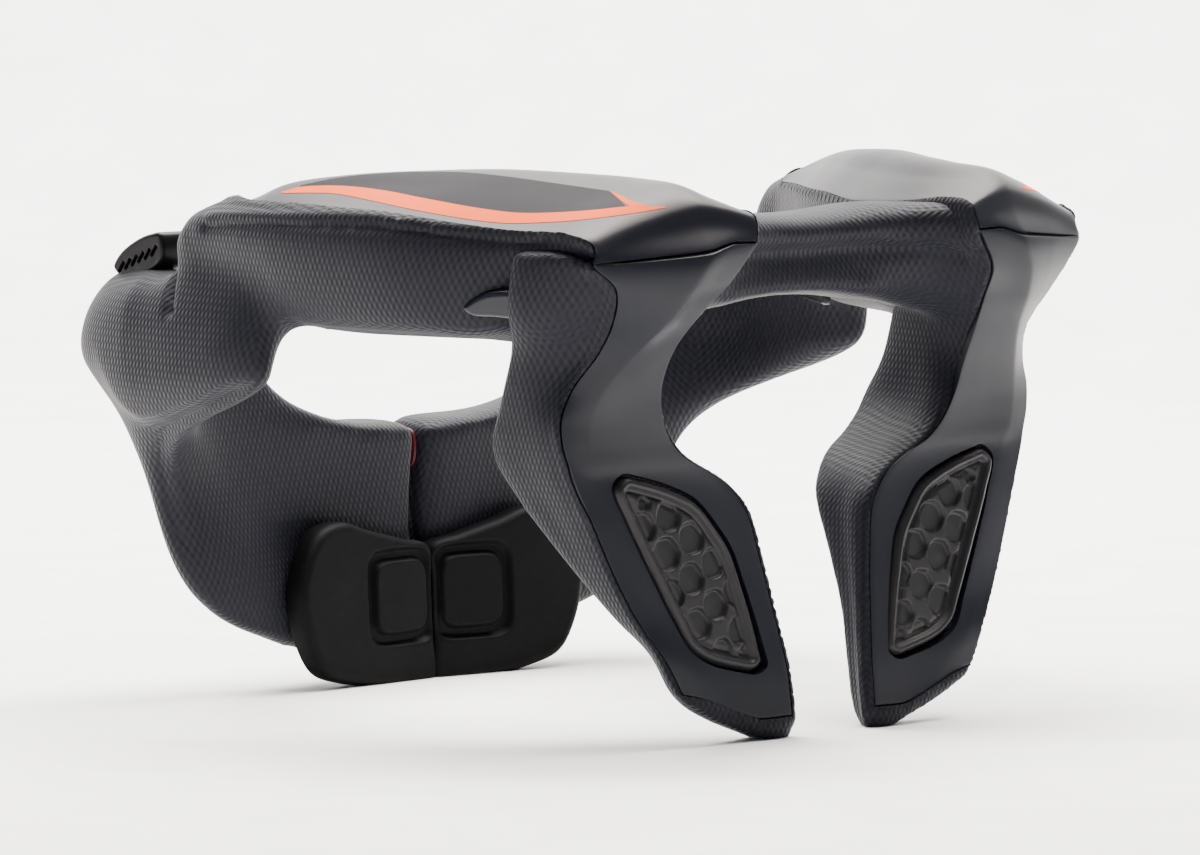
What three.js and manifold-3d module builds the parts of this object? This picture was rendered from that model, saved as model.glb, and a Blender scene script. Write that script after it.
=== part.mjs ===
// Motocross neck brace: two padded side wings on a rear frame, hard plastic skins and foam pads.
// Millimetres, +Z up, +Y towards the wearer's front, +X towards the wearer's right.
// The tables describe the wearer's right half; the left half is its mirror image.
import * as THREE from 'three';
import { mergeVertices } from 'three/addons/utils/BufferGeometryUtils.js';
import Module from 'manifold-3d';

const wasm = await Module();
wasm.setup();

// Overall sizes
const HALF_WIDTH = 150;
const DEPTH = 285;
const HEIGHT = 198;

// Clearances between pieces
const CLEARANCE = 0.3;
const SKIN_SEAM = 0.8;
const SPLIT_GAP = 2;

// Hard skins
const SKIN_THICKNESS = 2.4;
const SKIN_INSET = 1.2;

// Padded covers
const LEG_LIP = 3.5;
const WING_TUCK = 9;
const WING_EDGE_RADIUS = 4;
const ROLL_PROUD = 5;
const FRONT_CORNER = 13.5;
const RIM_RADIUS = 6;
const THROAT_SLOPE = 13;

// Honeycomb back pad
const BACK_PAD_WIDTH = 61;
const BACK_PAD_HEIGHT = 72;
const BACK_PAD_THICKNESS = 4.6;
const BACK_PAD_PROUD = 0.8;
const BACK_PAD_RIM = 4.2;
const BACK_PAD_CORNER = 6;
const BACK_PAD_MOAT = 1.6;
const PIT_DEPTH = 2;
const PIT_RADIUS = 5.1;
const PIT_PITCH = 13.2;
const PIT_TURN = 0.77;
const PIT_ROWS = 3;

// Chest pad
const CHEST_PAD_WIDTH = 69;
const CHEST_PAD_HEIGHT = 60;
const CHEST_PAD_THICKNESS = 9;
const CHEST_PAD_CORNER = 11;
const CHEST_PAD_SINK = 2.5;
const CHEST_BLOCK_SIZE = 27;
const CHEST_GROOVE_WIDTH = 5;
const CHEST_GROOVE_DEPTH = 2.5;

// Small hard pieces
const LATCH_WIDTH = 18;
const LATCH_SLOTS = 6;
const LATCH_SLOT_WIDTH = 1.9;
const LATCH_SLOT_DEPTH = 2.5;
const TAB_THICKNESS = 1.2;
const TAB_HEIGHT = 14;
const TAB_DEPTH = 9;
const BADGE_LENGTH = 24;
const BADGE_HEIGHT = 9.5;
const BADGE_THICKNESS = 4;
const TRIM_LENGTH = 40;
const TRIM_HEIGHT = 6;
const TRIM_THICKNESS = 3;

// Sampling
const LOOP_SAMPLES = 2;
const SKIN_COLUMNS = 6;

// Turns a header and rows of numbers into rows with named columns.
function table(header, rows) {
  const names = header.split(' ');
  return rows.map((row) => Object.fromEntries(row.map((value, i) => [names[i], value])));
}

// Shares in the tables are percent: x of HALF_WIDTH, y of DEPTH, z of HEIGHT.
function place(x, y, z) {
  return new THREE.Vector3(x / 100 * HALF_WIDTH, y / 100 * DEPTH, z / 100 * HEIGHT);
}

// Side wing, from the rear edge forwards: inner edge, crest, outer seam, underside, and the
// share of the crest-to-seam slope that the top skin covers.
const WING = table('yIn yOut xIn xCrest xOut zIn zCrest zSeam zLow cover', [
  [1.1, 5.6, 34.2, 49.3, 76.7, 89.4, 90.9, 86.4, 83.8, 0.97],
  [5.6, 9.1, 34.7, 49.3, 79.3, 92.6, 98.0, 88.4, 83.0, 0.97],
  [13.3, 16.1, 36.7, 49.3, 83.3, 92.4, 99.2, 89.4, 77.8, 0.96],
  [22.1, 23.2, 41.3, 54.0, 90.0, 91.9, 99.7, 90.4, 71.7, 0.94],
  [30.9, 30.9, 47.3, 61.3, 96.7, 91.4, 100.0, 91.4, 71.7, 0.91],
  [39.6, 39.6, 55.3, 68.7, 100.0, 91.9, 99.5, 91.4, 71.7, 0.87],
  [49.1, 49.1, 65.3, 78.7, 101.3, 91.9, 98.5, 90.9, 71.9, 0.76],
  [57.2, 57.2, 75.3, 86.0, 100.7, 91.9, 96.5, 90.4, 73.2, 0.6],
  [66.0, 65.3, 85.3, 92.0, 98.7, 90.4, 93.4, 89.4, 75.2, 0.3],
  [72.3, 72.3, 89.3, 92.7, 97.0, 86.9, 89.4, 86.9, 77.3, 0.1],
  [74.6, 74.6, 92.0, 93.3, 95.3, 83.3, 84.8, 83.8, 79.8, 0.1],
]);
const WING_SKIN_ROWS = 8;

// Rear leg, from the top down: the back skin's inner edge, ridge and outer edge, then the
// block's outer and inner front corners. zIn and zOut are the row's height at either edge.
const LEG = table('zIn zOut xIn yIn xRidge yRidge xOut yOut xFo yFo xFi yFi', [
  [88.2, 85.4, 36.0, 0.7, 49.6, 0.5, 77.0, 5.3, 85.3, 16.0, 38.0, 13.5],
  [81.8, 81.3, 41.7, 1.6, 53.3, 1.1, 71.8, 4.6, 86.0, 16.6, 41.0, 19.0],
  [75.8, 75.8, 45.3, 5.1, 56.7, 3.5, 69.0, 6.5, 85.0, 17.2, 47.0, 25.8],
  [69.7, 69.7, 47.8, 8.2, 60.7, 7.4, 68.0, 9.8, 79.3, 19.6, 51.0, 28.4],
  [63.1, 63.1, 48.0, 10.4, 65.3, 10.5, 71.7, 12.5, 77.3, 22.5, 50.7, 28.8],
  [58.1, 58.1, 46.7, 11.1, 67.3, 11.8, 74.0, 13.0, 75.3, 24.9, 48.0, 28.4],
  [53.5, 53.5, 43.7, 11.5, 67.3, 12.1, 73.7, 12.9, 74.0, 27.0, 42.7, 27.4],
  [50.0, 50.0, 38.7, 11.6, 66.0, 12.1, 72.3, 12.7, 72.7, 27.4, 36.0, 26.3],
  [47.5, 47.5, 31.7, 11.7, 64.0, 12.1, 71.3, 12.5, 71.3, 27.0, 29.3, 25.3],
  [44.4, 44.4, 25.3, 11.6, 62.0, 11.8, 69.7, 12.2, 69.3, 26.0, 24.7, 24.2],
  [39.4, 39.4, 20.3, 11.2, 58.7, 11.2, 66.7, 11.6, 66.7, 23.5, 20.7, 22.1],
  [30.3, 30.8, 17.5, 10.2, 53.3, 10.2, 62.0, 10.7, 62.0, 19.0, 18.0, 18.2],
  [20.2, 22.2, 15.3, 8.8, 46.7, 9.1, 56.3, 9.5, 56.0, 14.7, 16.0, 14.7],
  [11.6, 16.2, 13.7, 7.6, 41.3, 7.9, 51.0, 8.3, 50.7, 11.6, 14.7, 13.0],
  [3.9, 9.4, 13.4, 6.9, 34.0, 7.2, 46.0, 7.7, 46.0, 10.7, 14.0, 11.6],
  [0.9, 6.4, 14.0, 6.9, 29.0, 7.2, 42.0, 7.6, 42.0, 10.1, 14.6, 11.0],
  [-1.6, 3.6, 15.6, 7.3, 24.0, 7.4, 35.0, 7.9, 35.0, 9.5, 16.2, 10.2],
]);
const LEG_SKIN_ROWS = 15;

// Front lobe and chest plate, from the top down: inner end, wearer's face, front face, outer
// side, rear rim, and the thickness of the side wall.
const LOBE = table('z xEnd yFace yFront xSide yRim wall', [
  [79.3, 80.0, 78.9, 90.5, 94.7, 54.7, 13.0],
  [77.3, 76.0, 79.6, 93.0, 97.3, 53.4, 17.0],
  [73.7, 71.3, 81.1, 95.8, 99.3, 53.0, 17.0],
  [68.7, 64.7, 83.2, 98.2, 100.0, 53.0, 14.0],
  [63.1, 56.7, 84.4, 99.3, 99.6, 53.2, 12.0],
  [58.6, 48.5, 84.6, 98.9, 98.7, 56.4, 11.0],
  [54.5, 42.3, 84.6, 97.9, 97.3, 62.4, 11.0],
  [50.5, 32.0, 84.7, 96.5, 94.7, 70.7, 12.0],
  [48.3, 17.0, 85.0, 95.8, 92.8, 75.0, 15.0],
  [47.0, 1.0, 85.3, 95.4, 91.5, 77.0, 17.0],
  [43.0, 0.4, 86.0, 95.1, 89.3, 80.7, 20.0],
  [37.0, 0.4, 86.5, 94.4, 86.0, 81.4, 24.0],
  [29.0, 0.4, 86.7, 93.7, 82.0, 81.4, 27.0],
  [20.2, 0.4, 86.7, 93.0, 75.5, 81.1, 27.0],
  [14.5, 0.4, 86.7, 92.3, 68.0, 81.0, 26.0],
  [10.4, 0.4, 86.7, 91.6, 59.5, 82.1, 23.0],
  [7.2, 0.4, 86.9, 90.9, 48.0, 85.2, 18.0],
  [4.2, 0.4, 87.2, 90.2, 36.0, 87.0, 14.0],
]);

// Rear bridge, from the mid plane outwards: rear face, top, underside and front face.
const BRIDGE = table('x yRear zTop zLow yFront', [
  [0, 12.5, 91.4, 76.8, 23.9],
  [13.3, 12.3, 91.9, 76.3, 23.9],
  [25.3, 11.6, 92.7, 74.7, 23.2],
  [32.0, 9.8, 92.9, 73.7, 22.5],
  [38.0, 6.0, 92.4, 73.2, 22.0],
]);

// Outline corners, as shares of half the pad's width and height
const BACK_PAD_CORNERS = table('across up', [
  [0.99, 1.0],
  [-0.16, 0.72],
  [-0.55, 0.35],
  [-1.0, -1.0],
  [-0.1, -0.85],
  [0.29, -0.42],
]);

// Outline corners, as shares of the pad's width and height from its lower inner corner
const CHEST_PAD_CORNERS = table('across up', [
  [0.0, 0.0],
  [0.0, 0.8],
  [0.36, 0.9],
  [0.68, 1.03],
  [0.95, 0.86],
  [1.02, 0.5],
  [0.93, 0.1],
  [0.5, -0.03],
]);

// Latch profile from the side, as percent of DEPTH and HEIGHT
const LATCH_PROFILE = table('y z', [
  [82.1, 85.9],
  [84.6, 85.7],
  [88.2, 83.8],
  [90.8, 81.4],
  [91.8, 79.2],
  [90.2, 77.5],
  [86.5, 77.6],
  [81.8, 81.4],
]);

// Where the small pieces sit, in the same percent
const BACK_PAD_CENTRE = { x: 40, y: 10.05, z: 29.6 };
const BACK_PAD_TILT = 0.138;
const CHEST_PAD_CORNER_AT = { x: 0.9, y: 84.6, z: 0.2 };
const CHEST_PAD_TURN = 0.1;
const CHEST_PAD_TILT = 0.05;
const LATCH_OUTER = 87;
const TAB_AT = { y: 89.5, z: 42.6 };
const BADGE_AT = { x: 83.0, y: 19.8, z: 78.4 };
const BADGE_TURN = 1.14;
const BADGE_LEAN = -0.28;
const TRIM_AT = { x: 71.5, y: 50.2, z: 72.0 };
const TRIM_TURN = -2.1;

// Vectors and curves
function mix(a, b, share) {
  return a + (b - a) * share;
}

function smoothLoop(points, samples) {
  const curve = new THREE.CatmullRomCurve3(points, true, 'centripetal');
  return curve.getPoints(points.length * samples).slice(0, -1);
}

function alongRails(sections, steps) {
  const rails = sections[0].map((_, j) => {
    return new THREE.CatmullRomCurve3(sections.map((section) => section[j]), false, 'centripetal');
  });
  return Array.from({ length: steps + 1 }, (_, i) => rails.map((rail) => rail.getPoint(i / steps)));
}

// Closed meshes
function meshGeometry(points, triangles) {
  const geometry = new THREE.BufferGeometry();
  geometry.setAttribute('position', new THREE.Float32BufferAttribute(points.flatMap((p) => p.toArray()), 3));
  geometry.setIndex(triangles.flat());
  return volumeOf(geometry) < 0 ? turned(geometry) : geometry;
}

function volumeOf(geometry) {
  const position = geometry.attributes.position;
  const index = geometry.index;
  const corner = [0, 1, 2].map(() => new THREE.Vector3());
  let total = 0;
  for (let i = 0; i < index.count; i += 3) {
    corner.forEach((c, k) => c.fromBufferAttribute(position, index.getX(i + k)));
    total += corner[0].dot(corner[1].clone().cross(corner[2])) / 6;
  }
  return total;
}

function turned(geometry) {
  const index = Array.from(geometry.index.array);
  for (let i = 0; i < index.length; i += 3) {
    [index[i + 1], index[i + 2]] = [index[i + 2], index[i + 1]];
  }
  geometry.setIndex(index);
  return geometry;
}

// Joins rings of equal count into one body, closed at both ends by a fan about the ring's middle.
function loft(loops) {
  const count = loops[0].length;
  const triangles = [];
  for (let i = 0; i + 1 < loops.length; i += 1) {
    for (let j = 0; j < count; j += 1) {
      const a = i * count + j;
      const b = i * count + (j + 1) % count;
      triangles.push([a, b, b + count], [a, b + count, a + count]);
    }
  }
  const points = loops.flat();
  const last = (loops.length - 1) * count;
  for (let j = 0; j < count; j += 1) {
    triangles.push([points.length, (j + 1) % count, j]);
    triangles.push([points.length + 1, last + j, last + (j + 1) % count]);
  }
  const middle = (loop) => loop.reduce((sum, p) => sum.add(p), new THREE.Vector3()).divideScalar(count);
  return meshGeometry([...points, middle(loops[0]), middle(loops[loops.length - 1])], triangles);
}

// Normals of a grid of points, on the side that points away from the reference point.
function gridNormals(grid, inside) {
  const rows = grid.length;
  const columns = grid[0].length;
  return grid.map((row, i) => row.map((p, j) => {
    const down = grid[Math.min(i + 1, rows - 1)][j].clone().sub(grid[Math.max(i - 1, 0)][j]);
    const across = grid[i][Math.min(j + 1, columns - 1)].clone().sub(grid[i][Math.max(j - 1, 0)]);
    const normal = down.cross(across).normalize();
    return normal.dot(p.clone().sub(inside(p))) < 0 ? normal.negate() : normal;
  }));
}

// A sheet of even thickness: the grid raised by rise on one side and sunk by depth on the other.
function sheet(grid, rise, depth, inside) {
  const rows = grid.length;
  const columns = grid[0].length;
  const normals = gridNormals(grid, inside);
  const shifted = (by) => grid.flatMap((row, i) => row.map((p, j) => p.clone().addScaledVector(normals[i][j], by)));
  const points = [...shifted(rise), ...shifted(-depth)];
  const half = rows * columns;
  const id = (i, j) => i * columns + j;
  const triangles = [];
  for (let i = 0; i + 1 < rows; i += 1) {
    for (let j = 0; j + 1 < columns; j += 1) {
      const quad = [id(i, j), id(i, j + 1), id(i + 1, j + 1), id(i + 1, j)];
      triangles.push([quad[0], quad[1], quad[2]], [quad[0], quad[2], quad[3]]);
      triangles.push([quad[2] + half, quad[1] + half, quad[0] + half]);
      triangles.push([quad[3] + half, quad[2] + half, quad[0] + half]);
    }
  }
  const edge = [];
  for (let j = 0; j + 1 < columns; j += 1) edge.push([id(0, j), id(0, j + 1)]);
  for (let i = 0; i + 1 < rows; i += 1) edge.push([id(i, columns - 1), id(i + 1, columns - 1)]);
  for (let j = columns - 1; j > 0; j -= 1) edge.push([id(rows - 1, j), id(rows - 1, j - 1)]);
  for (let i = rows - 1; i > 0; i -= 1) edge.push([id(i, 0), id(i - 1, 0)]);
  edge.forEach(([a, b]) => triangles.push([b, a, a + half], [b, a + half, b + half]));
  return meshGeometry(points, triangles);
}

// Moves the grid's border outwards by a distance in its own surface.
function widened(grid, by) {
  const reach = (from, to) => to.clone().add(to.clone().sub(from).normalize().multiplyScalar(by));
  const wide = grid.map((row) => {
    const inner = row.map((p) => p.clone());
    inner[0] = reach(row[1], row[0]);
    inner[row.length - 1] = reach(row[row.length - 2], row[row.length - 1]);
    return inner;
  });
  const n = wide.length - 1;
  const first = wide[0].map((p, j) => reach(wide[1][j], p));
  const last = wide[n].map((p, j) => reach(wide[n - 1][j], p));
  return [first, ...wide.slice(1, n), last];
}

// Joining and cutting
function welded(geometry) {
  const plain = geometry.clone();
  plain.deleteAttribute('normal');
  plain.deleteAttribute('uv');
  return mergeVertices(plain, 1e-4);
}

function solid(geometry) {
  const merged = welded(geometry);
  return new wasm.Manifold(new wasm.Mesh({
    numProp: 3,
    vertProperties: new Float32Array(merged.attributes.position.array),
    triVerts: new Uint32Array(merged.index.array),
  }));
}

function geometryOf(body) {
  const mesh = body.getMesh();
  const geometry = new THREE.BufferGeometry();
  geometry.setAttribute('position', new THREE.Float32BufferAttribute(mesh.vertProperties, 3));
  geometry.setIndex(Array.from(mesh.triVerts));
  return geometry;
}

// The same body grown by a clearance along its vertex normals.
function grown(geometry, by) {
  const merged = welded(geometry);
  merged.computeVertexNormals();
  const position = merged.attributes.position;
  const normal = merged.attributes.normal;
  for (let i = 0; i < position.count; i += 1) {
    position.setXYZ(
      i,
      position.getX(i) + normal.getX(i) * by,
      position.getY(i) + normal.getY(i) * by,
      position.getZ(i) + normal.getZ(i) * by,
    );
  }
  return merged;
}

// The room that a neighbour leaves for a body: the body and its clearance.
function roomFor(geometry) {
  return solid(grown(geometry, CLEARANCE)).add(solid(geometry));
}

// The mirror image across the mid plane.
function mirrored(geometry) {
  return turned(welded(geometry).scale(-1, 1, 1));
}

// A block that reaches far below the surface that the brace stands on.
function belowFloor() {
  const size = 4 * DEPTH;
  return solid(new THREE.BoxGeometry(size, size, HEIGHT).translate(0, 0, -HEIGHT / 2));
}

// Rounded outline of a flat piece
function roundedShape(corners, radius) {
  const shape = new THREE.Shape();
  corners.forEach((corner, i) => {
    const before = corners[(i + corners.length - 1) % corners.length];
    const after = corners[(i + 1) % corners.length];
    const cut = (other) => {
      const reach = Math.min(radius, corner.distanceTo(other) * 0.45);
      return corner.clone().add(other.clone().sub(corner).setLength(reach));
    };
    const start = cut(before);
    const end = cut(after);
    if (i === 0) shape.moveTo(start.x, start.y);
    else shape.lineTo(start.x, start.y);
    shape.quadraticCurveTo(corner.x, corner.y, end.x, end.y);
  });
  shape.closePath();
  return shape;
}

function plate(shape, thickness, curveSegments = 3) {
  return new THREE.ExtrudeGeometry(shape, { depth: thickness, bevelEnabled: false, curveSegments });
}

function bevelled(shape, thickness, bevel, curveSegments = 3) {
  return new THREE.ExtrudeGeometry(shape, {
    depth: thickness - 2 * bevel,
    bevelThickness: bevel,
    bevelSize: bevel,
    bevelOffset: -bevel,
    bevelSegments: 1,
    curveSegments,
  }).translate(0, 0, bevel);
}

// Side wing
function wingPoint(row, x, z) {
  const share = (x - row.xIn) / (row.xOut - row.xIn);
  return place(x, mix(row.yIn, row.yOut, share), z);
}

function wingSection(row) {
  const width = row.xOut - row.xIn;
  const tuck = Math.min(WING_TUCK / HALF_WIDTH * 100, width * 0.3);
  const lift = WING_EDGE_RADIUS / HEIGHT * 100;
  return [
    wingPoint(row, row.xIn, row.zIn),
    wingPoint(row, row.xCrest, row.zCrest),
    wingPoint(row, row.xOut, row.zSeam),
    wingPoint(row, row.xOut - tuck, row.zLow + lift),
    wingPoint(row, row.xOut - width * 0.35, row.zLow),
    wingPoint(row, row.xIn + width * 0.22, row.zLow - lift / 2),
    wingPoint(row, row.xIn + width * 0.02, mix(row.zLow, row.zIn, 0.3)),
  ];
}

const WING_STEPS = 20;
function wingBody() {
  const inset = SKIN_INSET / HALF_WIDTH * 100;
  const rear = { ...WING[0], xOut: WING[0].xOut - 2 * inset, xIn: WING[0].xIn + inset };
  const sections = alongRails([rear, ...WING.slice(1)].map(wingSection), WING_STEPS);
  return loft(sections.map((points) => smoothLoop(points, 3)));
}

// Top skin: from the seam above the back skin, over the rear edge and along the wing.
function topSkinGrid() {
  const rows = WING.slice(0, WING_SKIN_ROWS).map((row) => {
    const xEdge = mix(row.xCrest, row.xOut, row.cover);
    const zEdge = mix(row.zCrest, row.zSeam, row.cover);
    return [
      wingPoint(row, row.xIn + 0.5, row.zIn),
      wingPoint(row, row.xCrest, row.zCrest),
      wingPoint(row, mix(row.xCrest, xEdge, 0.5), mix(row.zCrest, zEdge, 0.4)),
      wingPoint(row, xEdge, zEdge),
    ];
  });
  const top = LEG[0];
  const seam = SKIN_SEAM / HEIGHT * 100;
  const lip = [
    place(top.xIn, top.yIn, top.zIn + seam),
    place(top.xRidge, top.yRidge, top.zIn + seam),
    place(mix(top.xRidge, top.xOut, 0.5), mix(top.yRidge, top.yOut, 0.45), mix(top.zIn, top.zOut, 0.5) + seam),
    place(top.xOut - 2 * seam, top.yOut - seam, top.zOut + 2 * seam),
  ];
  const nose = WING[WING_SKIN_ROWS];
  const tip = mix(WING[WING_SKIN_ROWS - 1].yIn, nose.yIn, 0.8);
  const point = (x, z) => place(x, tip, z);
  const end = [
    point(nose.xIn - 1.4, nose.zIn + 1.2),
    point(nose.xIn - 0.4, nose.zIn + 2.2),
    point(mix(nose.xIn, nose.xCrest, 0.4), nose.zIn + 2.6),
    point(nose.xCrest - 1.4, nose.zCrest - 0.4),
  ];
  const across = [lip, ...rows, end];
  return alongRails(across, 18).map((points) => {
    return new THREE.CatmullRomCurve3(points, false, 'centripetal').getPoints(SKIN_COLUMNS);
  });
}

// Rear leg
function legSection(row) {
  const zAt = (x) => mix(row.zIn, row.zOut, (x - row.xIn) / (row.xOut - row.xIn));
  const point = (x, y) => place(x, y, zAt(x));
  const lip = LEG_LIP / HALF_WIDTH * 100;
  const step = SKIN_INSET / HALF_WIDTH * 100;
  const back = LEG_LIP / DEPTH * 100;
  return [
    point(row.xIn - lip, row.yIn + back),
    point(row.xIn + step, row.yIn),
    point(row.xRidge, row.yRidge),
    point(row.xOut - step, row.yOut),
    point(row.xOut + step, row.yOut + back),
    point(mix(row.xOut, row.xFo, 0.62) + step, mix(row.yOut, row.yFo, 0.5)),
    point(row.xFo - step, row.yFo),
    point(mix(row.xFo, row.xFi, 0.5), mix(row.yFo, row.yFi, 0.5) + back / 2),
    point(row.xFi, row.yFi),
    point(mix(row.xIn - lip, row.xFi, 0.5), mix(row.yIn, row.yFi, 0.5)),
  ];
}

const LEG_STEPS = 24;
function legBody() {
  const drop = 2 * SKIN_SEAM / HEIGHT * 100;
  const top = { ...LEG[0], zIn: LEG[0].zIn - drop, zOut: LEG[0].zOut - drop };
  const sections = alongRails([top, ...LEG.slice(1)].map(legSection), LEG_STEPS);
  return loft(sections.map((points) => smoothLoop(points, LOOP_SAMPLES)));
}

// Back skin: a facet on either side of a ridge, from the seam below the top skin down.
function backSkinGrid() {
  const rows = LEG.slice(0, LEG_SKIN_ROWS).map((row) => [
    place(row.xIn, row.yIn, row.zIn),
    place(mix(row.xIn, row.xRidge, 0.5), mix(row.yIn, row.yRidge, 0.5), row.zIn),
    place(row.xRidge, row.yRidge, mix(row.zIn, row.zOut, 0.5)),
    place(mix(row.xRidge, row.xOut, 0.5), mix(row.yRidge, row.yOut, 0.45), mix(row.zIn, row.zOut, 0.8)),
    place(row.xOut, row.yOut, row.zOut),
  ]);
  return alongRails(rows, 26);
}

const insideWing = () => place(60, 30, 50);
const insideLeg = (p) => p.clone().add(new THREE.Vector3(-0.1 * HALF_WIDTH, 0.3 * DEPTH, -0.1 * HEIGHT));

// Front lobe and chest plate
function lobeSection(row) {
  const point = (x, y) => place(x, y, row.z);
  const inner = row.xSide - row.wall;
  const turn = FRONT_CORNER / HALF_WIDTH * 100;
  const slope = Math.min(row.xEnd, THROAT_SLOPE, (row.xSide - turn - row.xEnd) * 0.5);
  const rim = RIM_RADIUS / DEPTH * 100;
  const lead = Math.min(2 * rim, (row.yFace - row.yRim) * 0.3);
  return [
    point(row.xEnd, row.yFace),
    point(mix(row.xEnd, inner, 0.5), row.yFace - 1),
    point(inner - 3, mix(row.yFace, row.yRim, 0.25)),
    point(inner, mix(row.yFace, row.yRim, 0.7)),
    point(inner + row.wall * 0.2, row.yRim + lead),
    point(inner + row.wall * 0.6, row.yRim + rim * 0.6),
    point(row.xSide - 0.6, row.yRim + rim),
    point(row.xSide, mix(row.yRim, row.yFront, 0.55)),
    point(row.xSide - turn, row.yFront - turn * 0.35),
    point(mix(row.xEnd + slope, row.xSide - turn, 0.5), row.yFront),
    point(row.xEnd + slope, row.yFront - rim / 2),
  ];
}

const LOBE_STEPS = 22;
function lobeBody() {
  const sections = alongRails(LOBE.map(lobeSection), LOBE_STEPS);
  const loops = sections.map((points) => smoothLoop(points, LOOP_SAMPLES));
  loops.flat().forEach((p) => p.setX(Math.max(p.x, SPLIT_GAP / 2)));
  return loft(loops);
}

// Rear bridge
function bridgeSection(row) {
  const proud = ROLL_PROUD / DEPTH * 100;
  const point = (y, z) => place(row.x, y, z);
  const height = row.zTop - row.zLow;
  return [
    point(row.yRear, row.zTop - height * 0.42),
    point(row.yRear - proud, row.zTop - height * 0.27),
    point(row.yRear - proud * 0.4, row.zTop - height * 0.07),
    point(mix(row.yRear, row.yFront, 0.3), row.zTop),
    point(mix(row.yRear, row.yFront, 0.85), row.zTop - height * 0.08),
    point(row.yFront, row.zTop - height * 0.45),
    point(mix(row.yRear, row.yFront, 0.85), row.zLow + height * 0.06),
    point(mix(row.yRear, row.yFront, 0.35), row.zLow),
    point(row.yRear, row.zLow + height * 0.12),
    point(row.yRear + proud * 0.5, row.zLow + height * 0.3),
  ];
}

function bridgeBody() {
  const half = BRIDGE.map(bridgeSection);
  const flip = (section) => section.map((p) => new THREE.Vector3(-p.x, p.y, p.z));
  const whole = [...half.slice(1).reverse().map(flip), ...half];
  return loft(alongRails(whole, 16).map((points) => smoothLoop(points, LOOP_SAMPLES)));
}

// Honeycomb back pad, flat in its own frame: outline across and up, outer face at +Z
function backPadCorners(inset) {
  const wide = BACK_PAD_WIDTH / 2 - inset;
  const tall = BACK_PAD_HEIGHT / 2 - inset;
  return BACK_PAD_CORNERS.map((c) => new THREE.Vector2(c.across * wide, c.up * tall));
}

function pitShape(centre) {
  const side = new THREE.Shape();
  for (let k = 0; k < 6; k += 1) {
    const angle = PIT_TURN + k * Math.PI / 3;
    const p = [centre.x + PIT_RADIUS * Math.cos(angle), centre.y + PIT_RADIUS * Math.sin(angle)];
    if (k === 0) side.moveTo(...p);
    else side.lineTo(...p);
  }
  side.closePath();
  return side;
}

function backPad() {
  const corner = BACK_PAD_CORNER;
  const body = solid(bevelled(roundedShape(backPadCorners(0), corner), BACK_PAD_THICKNESS, 0.8));
  const field = plate(roundedShape(backPadCorners(BACK_PAD_RIM), corner), 2 * PIT_DEPTH, 2);
  field.translate(0, 0, BACK_PAD_THICKNESS - PIT_DEPTH);
  let pits = null;
  for (let i = -PIT_ROWS; i <= PIT_ROWS; i += 1) {
    for (let j = -PIT_ROWS; j <= PIT_ROWS; j += 1) {
      const turn = PIT_TURN + Math.PI / 3;
      const centre = new THREE.Vector2(
        PIT_PITCH * (i * Math.cos(PIT_TURN) + j * Math.cos(turn)),
        PIT_PITCH * (i * Math.sin(PIT_TURN) + j * Math.sin(turn)),
      );
      const near = Math.abs(centre.x) < BACK_PAD_WIDTH * 0.42 && Math.abs(centre.y) < BACK_PAD_HEIGHT * 0.46;
      if (near) {
        const pit = solid(plate(pitShape(centre), 3 * PIT_DEPTH).translate(0, 0, BACK_PAD_THICKNESS - PIT_DEPTH));
        pits = pits ? pits.add(pit) : pit;
      }
    }
  }
  return geometryOf(body.subtract(pits.intersect(solid(field))));
}

// The opening in the back skin, and the seat behind it, that the pad fits with its moat.
function backPadWell(depth) {
  const wide = roundedShape(backPadCorners(-BACK_PAD_MOAT), BACK_PAD_CORNER + BACK_PAD_MOAT);
  return plate(wide, depth + 4 * SKIN_THICKNESS, 3).translate(0, 0, -depth);
}

const backPadFrame = new THREE.Matrix4().compose(
  place(BACK_PAD_CENTRE.x, BACK_PAD_CENTRE.y, BACK_PAD_CENTRE.z),
  new THREE.Quaternion().setFromEuler(new THREE.Euler(Math.PI / 2 - BACK_PAD_TILT, 0, 0)),
  new THREE.Vector3(1, 1, 1),
);

// Chest pad, flat in its own frame: outer face at +Z, towards the wearer
function chestPad() {
  const corners = CHEST_PAD_CORNERS.map((c) => {
    return new THREE.Vector2(c.across * CHEST_PAD_WIDTH, c.up * CHEST_PAD_HEIGHT);
  });
  const body = solid(bevelled(roundedShape(corners, CHEST_PAD_CORNER), CHEST_PAD_THICKNESS, 2.5));
  const middle = new THREE.Vector2(CHEST_PAD_WIDTH * 0.27, CHEST_PAD_HEIGHT * 0.5);
  const square = (half) => {
    const at = (a, b) => new THREE.Vector2(middle.x + a * half, middle.y + b * half);
    return roundedShape([at(-1, -1), at(-1, 1), at(1, 1), at(1, -1)], half * 0.4);
  };
  const outer = solid(plate(square(CHEST_BLOCK_SIZE / 2 + CHEST_GROOVE_WIDTH), CHEST_PAD_THICKNESS, 2));
  const inner = solid(plate(square(CHEST_BLOCK_SIZE / 2), 2 * CHEST_PAD_THICKNESS, 2));
  const ring = geometryOf(outer.subtract(inner)).translate(0, 0, CHEST_PAD_THICKNESS - CHEST_GROOVE_DEPTH);
  return geometryOf(body.subtract(solid(ring)));
}

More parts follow.
